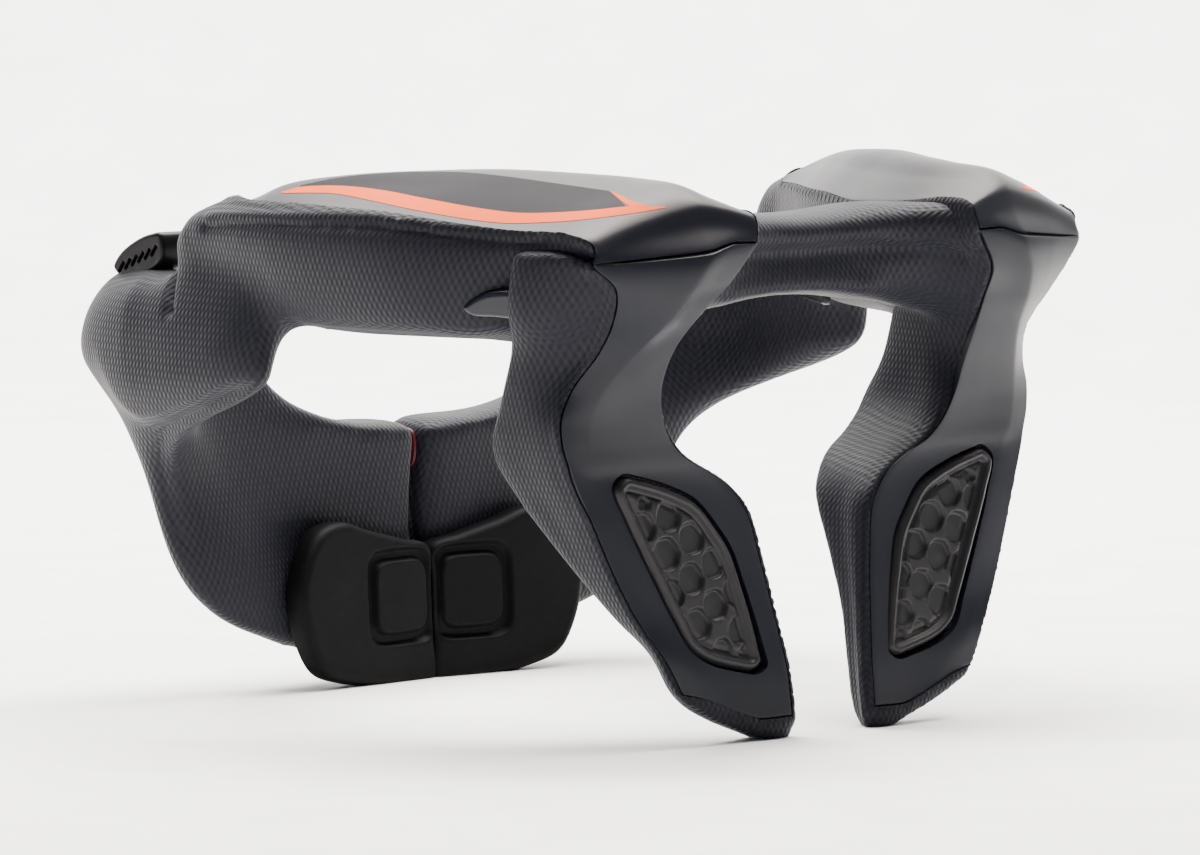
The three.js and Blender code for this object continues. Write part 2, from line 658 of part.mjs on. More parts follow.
const chestPadFrame = new THREE.Matrix4().compose(
  place(CHEST_PAD_CORNER_AT.x, CHEST_PAD_CORNER_AT.y, CHEST_PAD_CORNER_AT.z)
    .add(new THREE.Vector3(0, CHEST_PAD_SINK, 0)),
  new THREE.Quaternion().setFromEuler(new THREE.Euler(Math.PI / 2 - CHEST_PAD_TILT, 0, -CHEST_PAD_TURN, 'ZYX')),
  new THREE.Vector3(1, 1, 1),
);

// Front latch, on the wearer's left, as wide as LATCH_WIDTH
function frontLatch() {
  const profile = new THREE.Shape(LATCH_PROFILE.map((p) => {
    return new THREE.Vector2(p.y / 100 * DEPTH, p.z / 100 * HEIGHT);
  }));
  const outer = LATCH_OUTER / 100 * HALF_WIDTH;
  const body = solid(bevelled(profile, LATCH_WIDTH, 1.2, 1));
  const first = LATCH_PROFILE[0];
  const last = LATCH_PROFILE[3];
  const step = new THREE.Vector2(last.y - first.y, last.z - first.z);
  let cuts = null;
  for (let k = 0; k < LATCH_SLOTS; k += 1) {
    const share = 0.16 + 0.72 * k / (LATCH_SLOTS - 1);
    const slot = new THREE.BoxGeometry(LATCH_SLOT_WIDTH, 7, LATCH_SLOT_DEPTH);
    slot.rotateZ(-0.9);
    slot.translate(
      (first.y + step.x * share) / 100 * DEPTH,
      (first.z + step.y * share) / 100 * HEIGHT - 6.6,
      LATCH_WIDTH - LATCH_SLOT_DEPTH / 2 + 0.1,
    );
    cuts = cuts ? cuts.add(solid(slot)) : solid(slot);
  }
  const turnedBody = geometryOf(body.subtract(cuts));
  const axes = new THREE.Matrix4().makeBasis(
    new THREE.Vector3(0, 1, 0),
    new THREE.Vector3(0, 0, 1),
    new THREE.Vector3(1, 0, 0),
  );
  return turnedBody.applyMatrix4(axes).translate(outer - LATCH_WIDTH, 0, 0);
}

// Red closure tab in the split between the chest plates
function closureTab() {
  const outline = roundedShape([
    new THREE.Vector2(-TAB_DEPTH / 2, -TAB_HEIGHT / 2),
    new THREE.Vector2(-TAB_DEPTH / 2, TAB_HEIGHT / 2),
    new THREE.Vector2(TAB_DEPTH / 2, TAB_HEIGHT / 2),
    new THREE.Vector2(TAB_DEPTH / 2, -TAB_HEIGHT / 2),
  ], 2);
  const thickness = SPLIT_GAP - 2 * CLEARANCE;
  return plate(outline, thickness, 3).translate(0, 0, -thickness / 2);
}

// Smooth oval cap on the wing's outer wall
function badgePlate() {
  const long = BADGE_LENGTH / 2;
  const tall = BADGE_HEIGHT / 2;
  return bevelled(roundedShape([
    new THREE.Vector2(-long, -tall),
    new THREE.Vector2(-long, tall),
    new THREE.Vector2(long * 0.2, tall),
    new THREE.Vector2(long, -tall * 0.4),
    new THREE.Vector2(long * 0.6, -tall),
  ], 4), BADGE_THICKNESS, 1, 2);
}

// Smooth strip on the wing's inner wall
function trimPlate() {
  const long = TRIM_LENGTH / 2;
  const tall = TRIM_HEIGHT / 2;
  return bevelled(roundedShape([
    new THREE.Vector2(-long, -tall),
    new THREE.Vector2(-long, tall),
    new THREE.Vector2(long, tall),
    new THREE.Vector2(long, -tall),
  ], 2.8), TRIM_THICKNESS, 0.8, 2);
}

function framed(at, turn, lean) {
  return new THREE.Matrix4().compose(
    place(at.x, at.y, at.z),
    new THREE.Quaternion().setFromEuler(new THREE.Euler(Math.PI / 2 - lean, 0, turn, 'ZYX')),
    new THREE.Vector3(1, 1, 1),
  );
}

// Bodies of one side
const wing = wingBody();
const leg = legBody();
const lobe = lobeBody();
const bridge = bridgeBody();
const topGrid = topSkinGrid();
const backGrid = backSkinGrid();

const topSkin = sheet(topGrid, 0, SKIN_THICKNESS, insideWing);
const topPocket = sheet(widened(topGrid, 1.5 * SKIN_SEAM), 3 * SKIN_THICKNESS, SKIN_THICKNESS + 2 * CLEARANCE, insideWing);
const backSheet = sheet(backGrid, 0, SKIN_THICKNESS, insideLeg);
const backPocket = sheet(widened(backGrid, SKIN_SEAM), 2 * SKIN_THICKNESS, SKIN_THICKNESS + CLEARANCE, insideLeg);

const padSink = BACK_PAD_THICKNESS - BACK_PAD_PROUD;
const backPadGeometry = backPad().translate(0, 0, -padSink);
const padWell = backPadWell(padSink + CLEARANCE).applyMatrix4(backPadFrame);
const chestPadGeometry = chestPad();
const chestPadPlaced = chestPadGeometry.clone().applyMatrix4(chestPadFrame);

const badgeFrame = framed(BADGE_AT, BADGE_TURN, BADGE_LEAN);
const badge = badgePlate();
const trimFrame = framed(TRIM_AT, TRIM_TURN, 0);
const trim = trimPlate();

const wingSolid = solid(wing);
const legSolid = solid(leg);
const wingRoom = roomFor(wing);
const legRoom = roomFor(leg);
const topPocketSolid = solid(topPocket);
const backPocketSolid = solid(backPocket);

const capRoom = roomFor(badge.clone().applyMatrix4(badgeFrame));
const legFinished = legSolid.subtract(backPocketSolid).subtract(topPocketSolid)
  .subtract(solid(padWell)).subtract(capRoom).subtract(belowFloor());
const wingFinished = wingSolid.subtract(legRoom).subtract(topPocketSolid).subtract(backPocketSolid)
  .subtract(capRoom)
  .subtract(roomFor(trim.clone().applyMatrix4(trimFrame)));
const latchPlaced = frontLatch();
const lobeFinished = solid(lobe).subtract(wingRoom).subtract(roomFor(chestPadPlaced)).subtract(belowFloor());
const lobeWithLatch = lobeFinished.subtract(roomFor(latchPlaced));
const bridgeSideRoom = legRoom.add(wingRoom).add(topPocketSolid).add(backPocketSolid);
const bridgeFinished = solid(bridge)
  .subtract(bridgeSideRoom)
  .subtract(solid(mirrored(geometryOf(bridgeSideRoom))));
const backSkin = geometryOf(solid(backSheet).subtract(solid(padWell)));
const topSkinFinished = geometryOf(solid(topSkin).subtract(backPocketSolid));
const chestPadFinished = geometryOf(solid(chestPadPlaced).subtract(belowFloor()));

// Materials
const fabric = new THREE.MeshStandardMaterial({ color: 0x34343c, roughness: 0.85, metalness: 0 });
const skinPlastic = new THREE.MeshStandardMaterial({ color: 0x2b2e37, roughness: 0.45, metalness: 0 });
const padRubber = new THREE.MeshStandardMaterial({ color: 0x202227, roughness: 0.6, metalness: 0 });
const chestFoam = new THREE.MeshStandardMaterial({ color: 0x101013, roughness: 0.9, metalness: 0 });
const latchPlastic = new THREE.MeshStandardMaterial({ color: 0x17181c, roughness: 0.35, metalness: 0 });
const tabRed = new THREE.MeshStandardMaterial({ color: 0x7a1010, roughness: 0.5, metalness: 0 });
const capPlastic = new THREE.MeshStandardMaterial({ color: 0x3a3b42, roughness: 0.25, metalness: 0 });

const brace = new THREE.Group();
function addPiece(name, geometry, material, matrix) {
  const piece = new THREE.Mesh(geometry, material);
  piece.name = name;
  if (matrix) matrix.decompose(piece.position, piece.quaternion, piece.scale);
  brace.add(piece);
}

// A frame for the mirror image of a piece that is built in its own flat frame
function mirrorFrame(matrix) {
  const flip = new THREE.Matrix4().makeScale(-1, 1, 1);
  return flip.clone().multiply(matrix).multiply(flip);
}

function addPair(name, geometry, material, matrix) {
  addPiece(`${name}_right`, geometry, material, matrix);
  addPiece(`${name}_left`, mirrored(geometry), material, matrix && mirrorFrame(matrix));
}

addPiece('rear_bridge', geometryOf(bridgeFinished), fabric);
addPair('rear_leg', geometryOf(legFinished), fabric);
addPair('side_wing', geometryOf(wingFinished), fabric);
addPiece('front_lobe_right', geometryOf(lobeFinished), fabric);
addPiece('front_lobe_left', mirrored(geometryOf(lobeWithLatch)), fabric);
addPair('top_skin', topSkinFinished, skinPlastic);
addPair('back_skin', backSkin, skinPlastic);
addPair('back_pad', backPadGeometry, padRubber, backPadFrame);
addPair('chest_pad', chestPadFinished, chestFoam);
addPair('side_cap', badge, capPlastic, badgeFrame);
addPair('inner_strip', trim, capPlastic, trimFrame);
addPiece('front_latch', mirrored(latchPlaced), latchPlastic);
addPiece('closure_tab', closureTab(), tabRed, new THREE.Matrix4().compose(
  place(0, TAB_AT.y, TAB_AT.z),
  new THREE.Quaternion().setFromRotationMatrix(new THREE.Matrix4().makeBasis(
    new THREE.Vector3(0, 1, 0),
    new THREE.Vector3(0, 0, 1),
    new THREE.Vector3(1, 0, 0),
  )),
  new THREE.Vector3(1, 1, 1),
));

// The origin is the middle of the brace's footprint, on the surface that it stands on.
const box = new THREE.Box3().setFromObject(brace);
brace.position.set(-(box.min.x + box.max.x) / 2, -(box.min.y + box.max.y) / 2, -box.min.z);

const model = new THREE.Group();
model.add(brace);

export default model;
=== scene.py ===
import math

import bmesh
import bpy
import numpy as np
from bpy.props import FloatProperty, FloatVectorProperty, IntProperty, PointerProperty
from mathutils import Matrix, Vector
from mathutils.bvhtree import BVHTree


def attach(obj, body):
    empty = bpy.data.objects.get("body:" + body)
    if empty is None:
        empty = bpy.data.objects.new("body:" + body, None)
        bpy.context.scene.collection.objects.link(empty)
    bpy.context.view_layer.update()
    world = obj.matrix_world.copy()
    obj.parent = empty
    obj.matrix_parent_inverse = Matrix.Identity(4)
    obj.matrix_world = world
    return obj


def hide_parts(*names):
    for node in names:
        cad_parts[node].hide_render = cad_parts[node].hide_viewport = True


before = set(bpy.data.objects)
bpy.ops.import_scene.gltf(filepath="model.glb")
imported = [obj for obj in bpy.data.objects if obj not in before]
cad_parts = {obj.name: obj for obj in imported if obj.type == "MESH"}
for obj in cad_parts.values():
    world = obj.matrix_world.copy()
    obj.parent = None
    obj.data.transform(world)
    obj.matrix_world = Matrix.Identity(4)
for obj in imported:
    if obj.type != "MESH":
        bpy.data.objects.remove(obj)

bl_info = {
    "name": "Motocross neck brace",
    "version": (1, 0, 0),
    "blender": (4, 5, 0),
    "location": "View3D > Sidebar > Neck brace",
    "description": "Builds the padded covers, hard skins and pads of a neck brace around its frame",
    "category": "Object",
}

# Sizes are millimetres in the brace's own frame: +X wearer's right, +Y wearer's front, +Z up.
# The tables describe the right half; the left half is its mirror image.
MM = 0.001
HALF_WIDTH = 150
DEPTH = 285
HEIGHT = 198
FOOTPRINT_MIDDLE = 142.135


def table(header, rows):
    """Rows of numbers as dicts with the header's names."""
    names = header.split()
    return [dict(zip(names, row)) for row in rows]


# Side wing, rear to front: shares of half width, depth and height
WING = table("yIn yOut xIn xCrest xOut zIn zCrest zSeam zLow cover", [
    (0.9, 5.4, 34.6, 49.4, 76.9, 90.4, 91.6, 87.2, 84.6, 0.97),
    (1.7, 6.4, 34.2, 49.3, 77.6, 93.0, 95.2, 89.2, 83.8, 0.97),
    (5.6, 9.1, 34.7, 49.3, 79.3, 93.8, 98.2, 90.0, 83.0, 0.97),
    (13.3, 16.1, 36.7, 49.3, 83.3, 92.8, 99.2, 89.8, 77.8, 0.96),
    (22.1, 23.2, 41.3, 54.0, 90.0, 91.9, 99.7, 90.4, 71.7, 0.94),
    (30.9, 30.9, 47.3, 61.3, 96.7, 91.4, 100.0, 91.4, 71.7, 0.91),
    (39.6, 39.6, 55.3, 68.7, 100.0, 91.9, 99.5, 91.4, 71.7, 0.87),
    (49.1, 49.1, 65.3, 78.7, 101.3, 91.9, 98.5, 90.9, 71.9, 0.76),
    (57.2, 57.2, 75.3, 86.0, 100.7, 91.9, 96.5, 90.4, 73.2, 0.6),
    (66.0, 65.3, 85.3, 92.0, 98.7, 90.4, 93.4, 89.4, 75.2, 0.3),
    (72.3, 72.3, 89.3, 92.7, 97.0, 86.9, 89.4, 86.9, 77.3, 0.1),
    (74.6, 74.6, 92.0, 93.3, 95.3, 83.3, 84.8, 83.8, 79.8, 0.1),
])
WING_SKIN_ROWS = 9

# Rear leg, top to bottom: the panel's inner edge, ridge and outer edge, then the front corners
LEG = table("zIn zOut xIn yIn xRidge yRidge xOut yOut xFo yFo xFi yFi", [
    (88.2, 85.4, 36.0, 0.7, 49.6, 0.5, 77.0, 5.3, 85.3, 16.0, 38.0, 13.5),
    (81.8, 81.3, 41.7, 1.6, 53.3, 1.1, 71.8, 4.6, 86.0, 16.6, 41.0, 19.0),
    (75.8, 75.8, 45.3, 5.1, 56.7, 3.5, 69.0, 6.5, 85.0, 17.2, 47.0, 25.8),
    (69.7, 69.7, 47.8, 8.2, 60.7, 7.4, 68.0, 9.8, 79.3, 19.6, 51.0, 28.4),
    (63.1, 63.1, 48.0, 10.4, 65.3, 10.5, 71.7, 12.5, 77.3, 22.5, 50.7, 28.8),
    (58.1, 58.1, 46.7, 11.1, 67.3, 11.8, 74.0, 13.0, 75.3, 24.9, 48.0, 28.4),
    (53.5, 53.5, 43.7, 11.5, 67.3, 12.1, 73.7, 12.9, 74.0, 27.0, 42.7, 27.4),
    (50.0, 50.0, 38.7, 11.6, 66.0, 12.1, 72.3, 12.7, 72.7, 27.4, 36.0, 26.3),
    (47.5, 47.5, 31.7, 11.7, 64.0, 12.1, 71.3, 12.5, 71.3, 27.0, 29.3, 25.3),
    (44.4, 44.4, 25.3, 11.6, 62.0, 11.8, 69.7, 12.2, 69.3, 26.0, 24.7, 24.2),
    (39.4, 39.4, 20.3, 11.2, 58.7, 11.2, 66.7, 11.6, 66.7, 23.5, 20.7, 22.1),
    (30.3, 30.8, 17.5, 10.2, 53.3, 10.2, 62.0, 10.7, 62.0, 19.0, 18.0, 18.2),
    (20.2, 22.2, 15.3, 8.8, 46.7, 9.1, 56.3, 9.5, 56.0, 14.7, 16.0, 14.7),
    (11.6, 16.2, 13.7, 7.6, 41.3, 7.9, 51.0, 8.3, 50.7, 11.6, 14.7, 13.0),
    (3.9, 9.4, 13.4, 6.9, 34.0, 7.2, 46.0, 7.7, 46.0, 10.7, 14.0, 11.6),
    (0.9, 6.4, 14.0, 6.9, 29.0, 7.2, 42.0, 7.6, 42.0, 10.1, 14.6, 11.0),
    (-1.6, 3.6, 15.6, 7.3, 24.0, 7.4, 35.0, 7.9, 35.0, 9.5, 16.2, 10.2),
])
LEG_SKIN_ROWS = 15
# How far the flap's points rise over the leg's top, beside the wing
FLAP_RISE = {4: 2.0, 5: 7.0, 6: 7.5, 7: 3.0}

# Front lobe and chest plate, top to bottom
LOBE = table("z xEnd yFace yFront xSide yRim wall", [
    (79.3, 80.0, 78.9, 90.5, 94.7, 54.7, 13.0),
    (77.3, 76.0, 79.6, 93.0, 97.3, 53.4, 17.0),
    (73.7, 71.3, 81.1, 95.8, 99.3, 53.0, 17.0),
    (68.7, 64.7, 83.2, 98.2, 100.0, 53.0, 14.0),
    (63.1, 56.7, 84.4, 99.3, 99.6, 53.2, 12.0),
    (58.6, 48.5, 84.6, 98.9, 98.7, 56.4, 11.0),
    (54.5, 42.3, 84.6, 97.9, 97.3, 62.4, 11.0),
    (50.5, 32.0, 84.7, 96.5, 94.7, 70.7, 12.0),
    (48.3, 17.0, 85.0, 95.8, 92.8, 75.0, 15.0),
    (47.0, 1.0, 85.3, 95.4, 91.5, 77.0, 17.0),
    (43.0, 0.4, 86.0, 95.1, 89.3, 80.7, 20.0),
    (37.0, 0.4, 86.5, 94.4, 86.0, 81.4, 24.0),
    (29.0, 0.4, 86.7, 93.7, 82.0, 81.4, 27.0),
    (20.2, 0.4, 86.7, 93.0, 75.5, 81.1, 27.0),
    (14.5, 0.4, 86.7, 92.3, 68.0, 81.0, 26.0),
    (10.4, 0.4, 86.7, 91.6, 59.5, 82.1, 23.0),
    (7.2, 0.4, 86.9, 90.9, 48.0, 85.2, 18.0),
    (4.2, 0.4, 87.2, 90.2, 36.0, 87.0, 14.0),
])

# Crease below the lobe's roll on the outer side: height over y
CREASE = np.array([
    (150, 128), (156, 125), (168, 121), (192, 111), (203, 108), (217, 104), (243, 102), (256, 103),
], float)
# How far the side falls back below the crease, and how far the roll over it stands out
CREASE_FALL = 4.2
ROLL_RISE = 1.5

# Rear bridge, from the mid plane outwards
BRIDGE = table("x yRear yLow zTop zLow yFront", [
    (0, 12.5, 12.5, 91.4, 76.8, 23.9),
    (13.3, 12.2, 12.4, 91.9, 76.3, 23.9),
    (25.3, 10.2, 12.2, 93.2, 74.7, 23.2),
    (32.0, 6.2, 12.0, 94.2, 73.0, 22.5),
    (38.0, 3.0, 11.4, 94.0, 71.4, 22.0),
    (43.0, 2.2, 11.0, 91.5, 69.0, 22.5),
])

# Slit beside the latch
LATCH_SLIT = [(140, 212, 166), (142, 210, 158), (142, 207.5, 150), (141, 205, 143)]

# Zones softened further: bands across, forward and up (from, to, soft edge), and passes
ANY = (-999, 999, 1)
REAR_SOFT = [
    ((44, 80, 12), (30, 999, 16), (128, 200, 16), 200),
    ((46, 78, 14), ANY, (132, 200, 18), 60),
    (ANY, (34, 300, 10), (90, 200, 10), 20),
]
SIDE_SOFT = [
    (ANY, (160, 222, 14), (128, 158, 10), 130),
    (ANY, (198, 214, 6), (152, 174, 6), 30),
    (ANY, ANY, (-999, 112, 16), 45),
    ((78, 999, 28), ANY, (-999, 104, 20), 170),
]

# Skins: rows of the grid between two sections, and columns across
SPAN = 11
SKIN_COLUMNS = 36
# Rows left open between the two skins as a witness line, and how deep its floor lies
WITNESS = 2
TONGUE = 1.7
# A point inside the wing and a direction into the leg, as percent of the sizes
WING_INSIDE = (60, 30, 50)
LEG_INWARD = (-10, 30, -10)

# Honeycomb pad: outline, then the cells' middles and reach, across and up in millimetres
COMB_OUTLINE = [
    (90.2, 90.0), (85.2, 94.1), (79.3, 93.1), (65.8, 89.1), (53.4, 83.2), (45.1, 73.7),
    (40.2, 66.4), (36.1, 54.0), (32.8, 42.0), (30.5, 31.5), (29.9, 26.6), (34.2, 23.8),
    (41.6, 24.8), (55.8, 28.9), (63.3, 34.0), (68.2, 42.9), (77.1, 60.3), (85.9, 78.1),
]
COMB_CELLS = [
    (67.3, 79.6, 5.3), (57.5, 71.4, 5.6), (69.6, 66.7, 5.8), (48.6, 62.1, 5.3), (59.3, 57.4, 5.6),
    (49.4, 47.7, 5.4), (58.2, 41.4, 5.7), (39.4, 38.1, 4.8), (47.6, 31.6, 4.3), (79.2, 76.6, 5.4),
    (68.8, 52.4, 5.4), (40.4, 51.8, 4.7), (77.9, 84.6, 2.6), (37.4, 30.2, 2.4),
]
COMB_MIDDLE = (60.0, 28.64, 58.6)
COMB_LEAN = 0.138
COMB_BACK = -3.8
# The six-sided pits, and the moat between the pad and its well
PIT_TURN = 0.35
PIT_WALL = 1.1
PIT_DEPTH = 1.7
MOAT = 1.4
WELL_RISE = 9.0
WELL_IN_COVER = 4.4
WELL_IN_SKIN = 9.0
# Height of the pad's face at a distance in from its outline
COMB_PROFILE = [
    (0.0, -2.4), (0.5, -0.6), (1.3, 0.5), (2.3, 1.0), (3.2, 0.7), (4.1, -0.6),
    (4.8, -1.1), (5.4, -0.9), (6.3, 0.0), (7.5, 0.3),
]
COMB_FIELD = (5.0, 6.2)

# A distance in from a plate's outline that every edge and field ends before
FAR_IN = 50.0

# Chest pad: outline, across from the mid plane and up from the floor
CHEST_OUTLINE = [
    (0.8, -1.5), (0.6, 14.0), (0.6, 34.0), (1.2, 48.0), (14.0, 51.6), (32.0, 56.0), (46.0, 60.0),
    (58.0, 57.0), (66.0, 46.5), (69.5, 33.0), (65.5, 16.0), (58.0, 5.0), (43.0, 0.0), (24.0, -2.5),
]
CHEST_THICK = 9.0
CHEST_CROWN = 0.5
# Middle of the raised square, and the groove round it: from, to and depth
CHEST_BLOCK = (18.0, 30.5)
CHEST_GROOVE = ((12.6, 14.4), (16.4, 18.6), 2.6)

# Latch, seen from the side, as percent of depth and height
LATCH_OUTLINE = [
    (82.1, 85.9), (84.6, 85.7), (88.2, 83.8), (90.8, 81.4), (91.8, 79.2),
    (90.2, 77.5), (86.5, 77.6), (81.8, 81.4),
]
LATCH_FACE = 130.5
LATCH_DEPTH = 18.0
LATCH_EDGE = 1.6
# Its slots: drop below the top edge, lean, half length and half width, and depth
SLOT_COUNT = 6
SLOT_DROP = 5.0
SLOT_LEAN = (0.62, 0.78)
SLOT_HALF = (2.7, 0.85)
SLOT_DEPTH = 2.2

# Side cap, inner strip and closure tab: outlines about their middles, in millimetres
CAP_OUTLINE = [
    (-12, -4.6), (-12.4, 0), (-11, 4.4), (0, 4.75), (6, 2.6), (11.4, -1.6), (9, -4.2), (0, -4.8),
]
STRIP_OUTLINE = [
    (-20, 0), (-18.4, 2.7), (-10, 3), (10, 3), (18.4, 2.7), (20, 0), (18.4, -2.7), (10, -3),
    (-10, -3), (-18.4, -2.7),
]
TAB_OUTLINE = [
    (-7.6, -3.5), (-7.6, 3.5), (-5.8, 6.6), (3, 7), (4.5, 5.5), (4.5, -5.5), (3, -7), (-5.8, -6.6),
]

# Where the photograph's camera stands: turn, height over the horizon, and place
CAMERA_TURN = -41.4157
CAMERA_RISE = 5.075
CAMERA_SHIFT = (-76.4606, 49.3626, 2806.37)
CAMERA_AIM = (0.0, -114.135, 57.0)
CAMERA_LENS = 240.0
CAMERA_SENSOR = 36.0
PICTURE = (1200, 855)

# Prints on the left wing's skin: upper and lower edge in the camera's picture, and height
PRINTS = {
    "stripe": (
        [(281, 192.5), (298, 187.5), (340, 186.0), (383, 190.5), (427, 199), (480, 208.5),
         (518, 213), (560, 212.5), (595, 210), (631, 206.5), (666, 207)],
        [(283, 193.5), (312, 193.0), (336, 194.0), (368, 200), (407, 208.5), (447, 216),
         (480, 221), (509, 223.5), (545, 222.5), (576, 220.5), (633, 213.5), (666, 207.6)],
        0.14,
    ),
    "barb": (
        [(611, 191.5), (622, 196), (634, 202), (650, 206)],
        [(611, 192), (616, 196.5), (624, 203), (632, 208)],
        0.17,
    ),
    "patch": (
        [(300, 185.5), (340, 177.5), (387, 173.0), (430, 171.8), (465, 172.5), (510, 177),
         (560, 184), (609, 191)],
        [(300, 188.5), (340, 187.0), (383, 191.5), (427, 200), (480, 209.5), (518, 214),
         (575, 212.5), (628, 208)],
        0.10,
    ),
}
# Points across and along a print, and how deep it is rooted in the skin
PRINT_ROWS = 13
PRINT_STEPS = 110
PRINT_ROOT = 0.4


def length(name, default, text):
    """A length in metres that a user would change."""
    return FloatProperty(
        name=name, description=text, default=default, min=0.0, precision=5,
        unit="LENGTH", subtype="DISTANCE",
    )


def paint(name, default, text):
    """A colour that a user would change."""
    return FloatVectorProperty(
        name=name, description=text, default=default, min=0.0, max=1.0, size=3, subtype="COLOR",
    )


class BraceSizes(bpy.types.PropertyGroup):
    """Sizes of the covers, skins and pads."""

    weave: length("Cover grain", 0.0017, "Edge of a cell when the covers are remeshed")
    relax: IntProperty(
        name="Cover softening", description="Smoothing passes on the covers", default=7, min=0,
    )
    skin: length("Skin thickness", 0.0024, "Thickness of the hard skins")
    skin_gap: length("Skin gap", 0.0006, "Dark gap round each hard skin")
    skin_round: length("Skin edge", 0.0005, "Radius of the skins' edges")
    row_pitch: length("Weave rows", 0.0025, "Height of a row of the embossed weave")
    cell_pitch: length("Weave cells", 0.0023, "Width of a cell of the embossed weave")
    weave_depth: length("Weave depth", 0.00030, "Depth of the embossed weave")


class BraceColours(bpy.types.PropertyGroup):
    """Colours of the brace's finishes."""

    cover: paint("Cover fabric", (0.0060, 0.0065, 0.0112), "Embossed fabric of the covers")
    skin: paint("Hard skin", (0.0062, 0.0072, 0.0118), "Satin plastic of the skins")
    comb: paint("Back pad", (0.013, 0.0128, 0.0145), "Rubber of the honeycomb pads")
    chest: paint("Chest pad", (0.0012, 0.0012, 0.0018), "Foam of the chest pads")
    latch: paint("Latch", (0.004, 0.004, 0.005), "Plastic of the front latch")
    stripe: paint("Stripe", (0.68, 0.088, 0.012), "Stripe on the wings' skins")
    tab: paint("Closure tab", (0.05, 0.002, 0.002), "Tab in the chest split")
    floor: paint("Studio", (0.88, 0.88, 0.88), "Floor and backdrop")


def place(x, y, z):
    """A point from its shares of half width, depth and height."""
    return np.array([x / 100 * HALF_WIDTH, y / 100 * DEPTH, z / 100 * HEIGHT])


def mix(a, b, t):
    """The value between a and b at t."""
    return a + (b - a) * t


def ramp(x, low, high):
    """A smooth step from 0 at low to 1 at high."""
    t = np.clip((x - low) / (high - low), 0, 1)
    return t * t * (3 - 2 * t)


def spline(points, steps, closed=False):
    """Centripetal curves through rows of points: one curve for each column."""
    p = np.asarray(points, float)
    spans = len(p) if closed else len(p) - 1
    if closed:
        line = np.concatenate([p[-1:], p, p[:2]])
        at = np.arange(steps) / steps * spans
    else:
        line = np.concatenate([2 * p[:1] - p[1:2], p, 2 * p[-1:] - p[-2:-1]])
        at = np.linspace(0, spans, steps + 1)
    k = np.minimum(at.astype(int), spans - 1)
    w = (at - k).reshape(-1, *[1] * (p.ndim - 1))
    p0, p1, p2, p3 = (line[k + i] for i in range(4))
    d0, d1, d2 = (
        np.maximum(np.linalg.norm(b - a, axis=-1, keepdims=True), 1e-6) ** 0.5
        for a, b in ((p0, p1), (p1, p2), (p2, p3))
    )
    t1 = ((p1 - p0) / d0 - (p2 - p0) / (d0 + d1) + (p2 - p1) / d1) * d1
    t2 = ((p2 - p1) / d1 - (p3 - p1) / (d1 + d2) + (p3 - p2) / d2) * d1
    bend = 3 * (p2 - p1) - 2 * t1 - t2
    return p1 + t1 * w + bend * w**2 + (2 * (p1 - p2) + t1 + t2) * w**3


def rings_of(sections, steps, around):
    """Closed smooth rings along the rails through the sections' points."""
    rails = spline(sections, steps)
    return spline(rails.transpose(1, 0, 2), around, closed=True).transpose(1, 0, 2)


def mesh_object(name, points, faces):
    """An object from points in millimetres, with its faces turned outwards."""
    row = (np.asarray(points, float) - (0, FOOTPRINT_MIDDLE, 0)) * MM
    mesh = bpy.data.meshes.new(name)
    mesh.from_pydata(row.tolist(), [], [list(f) for f in faces])
    bm = bmesh.new()
    bm.from_mesh(mesh)
    bmesh.ops.remove_doubles(bm, verts=bm.verts, dist=1e-6)
    bmesh.ops.recalc_face_normals(bm, faces=bm.faces)
    if bm.calc_volume(signed=True) < 0:
        bmesh.ops.reverse_faces(bm, faces=bm.faces)
    bm.to_mesh(mesh)
    bm.free()
    made = bpy.data.objects.new(name, mesh)
    bpy.context.scene.collection.objects.link(made)
    return made


def grid_faces(rows, columns, wrap=False):
    """Quads of a grid, joined round its columns if wrap."""
    last = columns if wrap else columns - 1
    return [
        (i * columns + j, i * columns + (j + 1) % columns,
         (i + 1) * columns + (j + 1) % columns, (i + 1) * columns + j)
        for i in range(rows - 1) for j in range(last)
    ]


def lofted(name, rings):
    """A body through rings, closed by a fan at either end."""
    count = rings.shape[1]
    faces = grid_faces(len(rings), count, wrap=True)
    points = [*rings.reshape(-1, 3), rings[0].mean(0), rings[-1].mean(0)]
    tail = (len(rings) - 1) * count
    for j in range(count):
        k = (j + 1) % count
        faces += [(len(points) - 2, k, j), (len(points) - 1, tail + j, tail + k)]
    return mesh_object(name, points, faces)


def normals_of(grid, inside):
    """Normals of a grid, on the side away from a point or points inside."""
    down, across = np.gradient(grid, axis=0), np.gradient(grid, axis=1)
    normal = np.cross(down, across)
    normal /= np.linalg.norm(normal, axis=2, keepdims=True)
    side = np.sign(((grid - inside) * normal).sum(2, keepdims=True))
    return normal * np.where(side == 0, 1, side)


def closed_sheet(name, grid, normal, rise, depth):
    """A sheet: the grid raised by rise and sunk by depth along its normals, closed at its rim."""
    rows, columns = grid.shape[:2]
    half = rows * columns
    faces = grid_faces(rows, columns)
    faces += [tuple(k + half for k in reversed(f)) for f in faces]
    ids = np.arange(half).reshape(rows, columns)
    rim = [*ids[0], *ids[1:, -1], *ids[-1, -2::-1], *ids[-2:0:-1, 0]]
    for a, b in zip(rim, [*rim[1:], rim[0]]):
        faces.append((b, a, a + half, b + half))
    upper, lower = grid + normal * rise, grid - normal * depth
    return mesh_object(name, np.concatenate([upper.reshape(-1, 3), lower.reshape(-1, 3)]), faces)


def sheet_of(name, grid, inside, rise, depth):
    """A closed sheet round a grid whose inner side is where inside lies."""
    return closed_sheet(name, grid, normals_of(grid, inside), rise, depth)


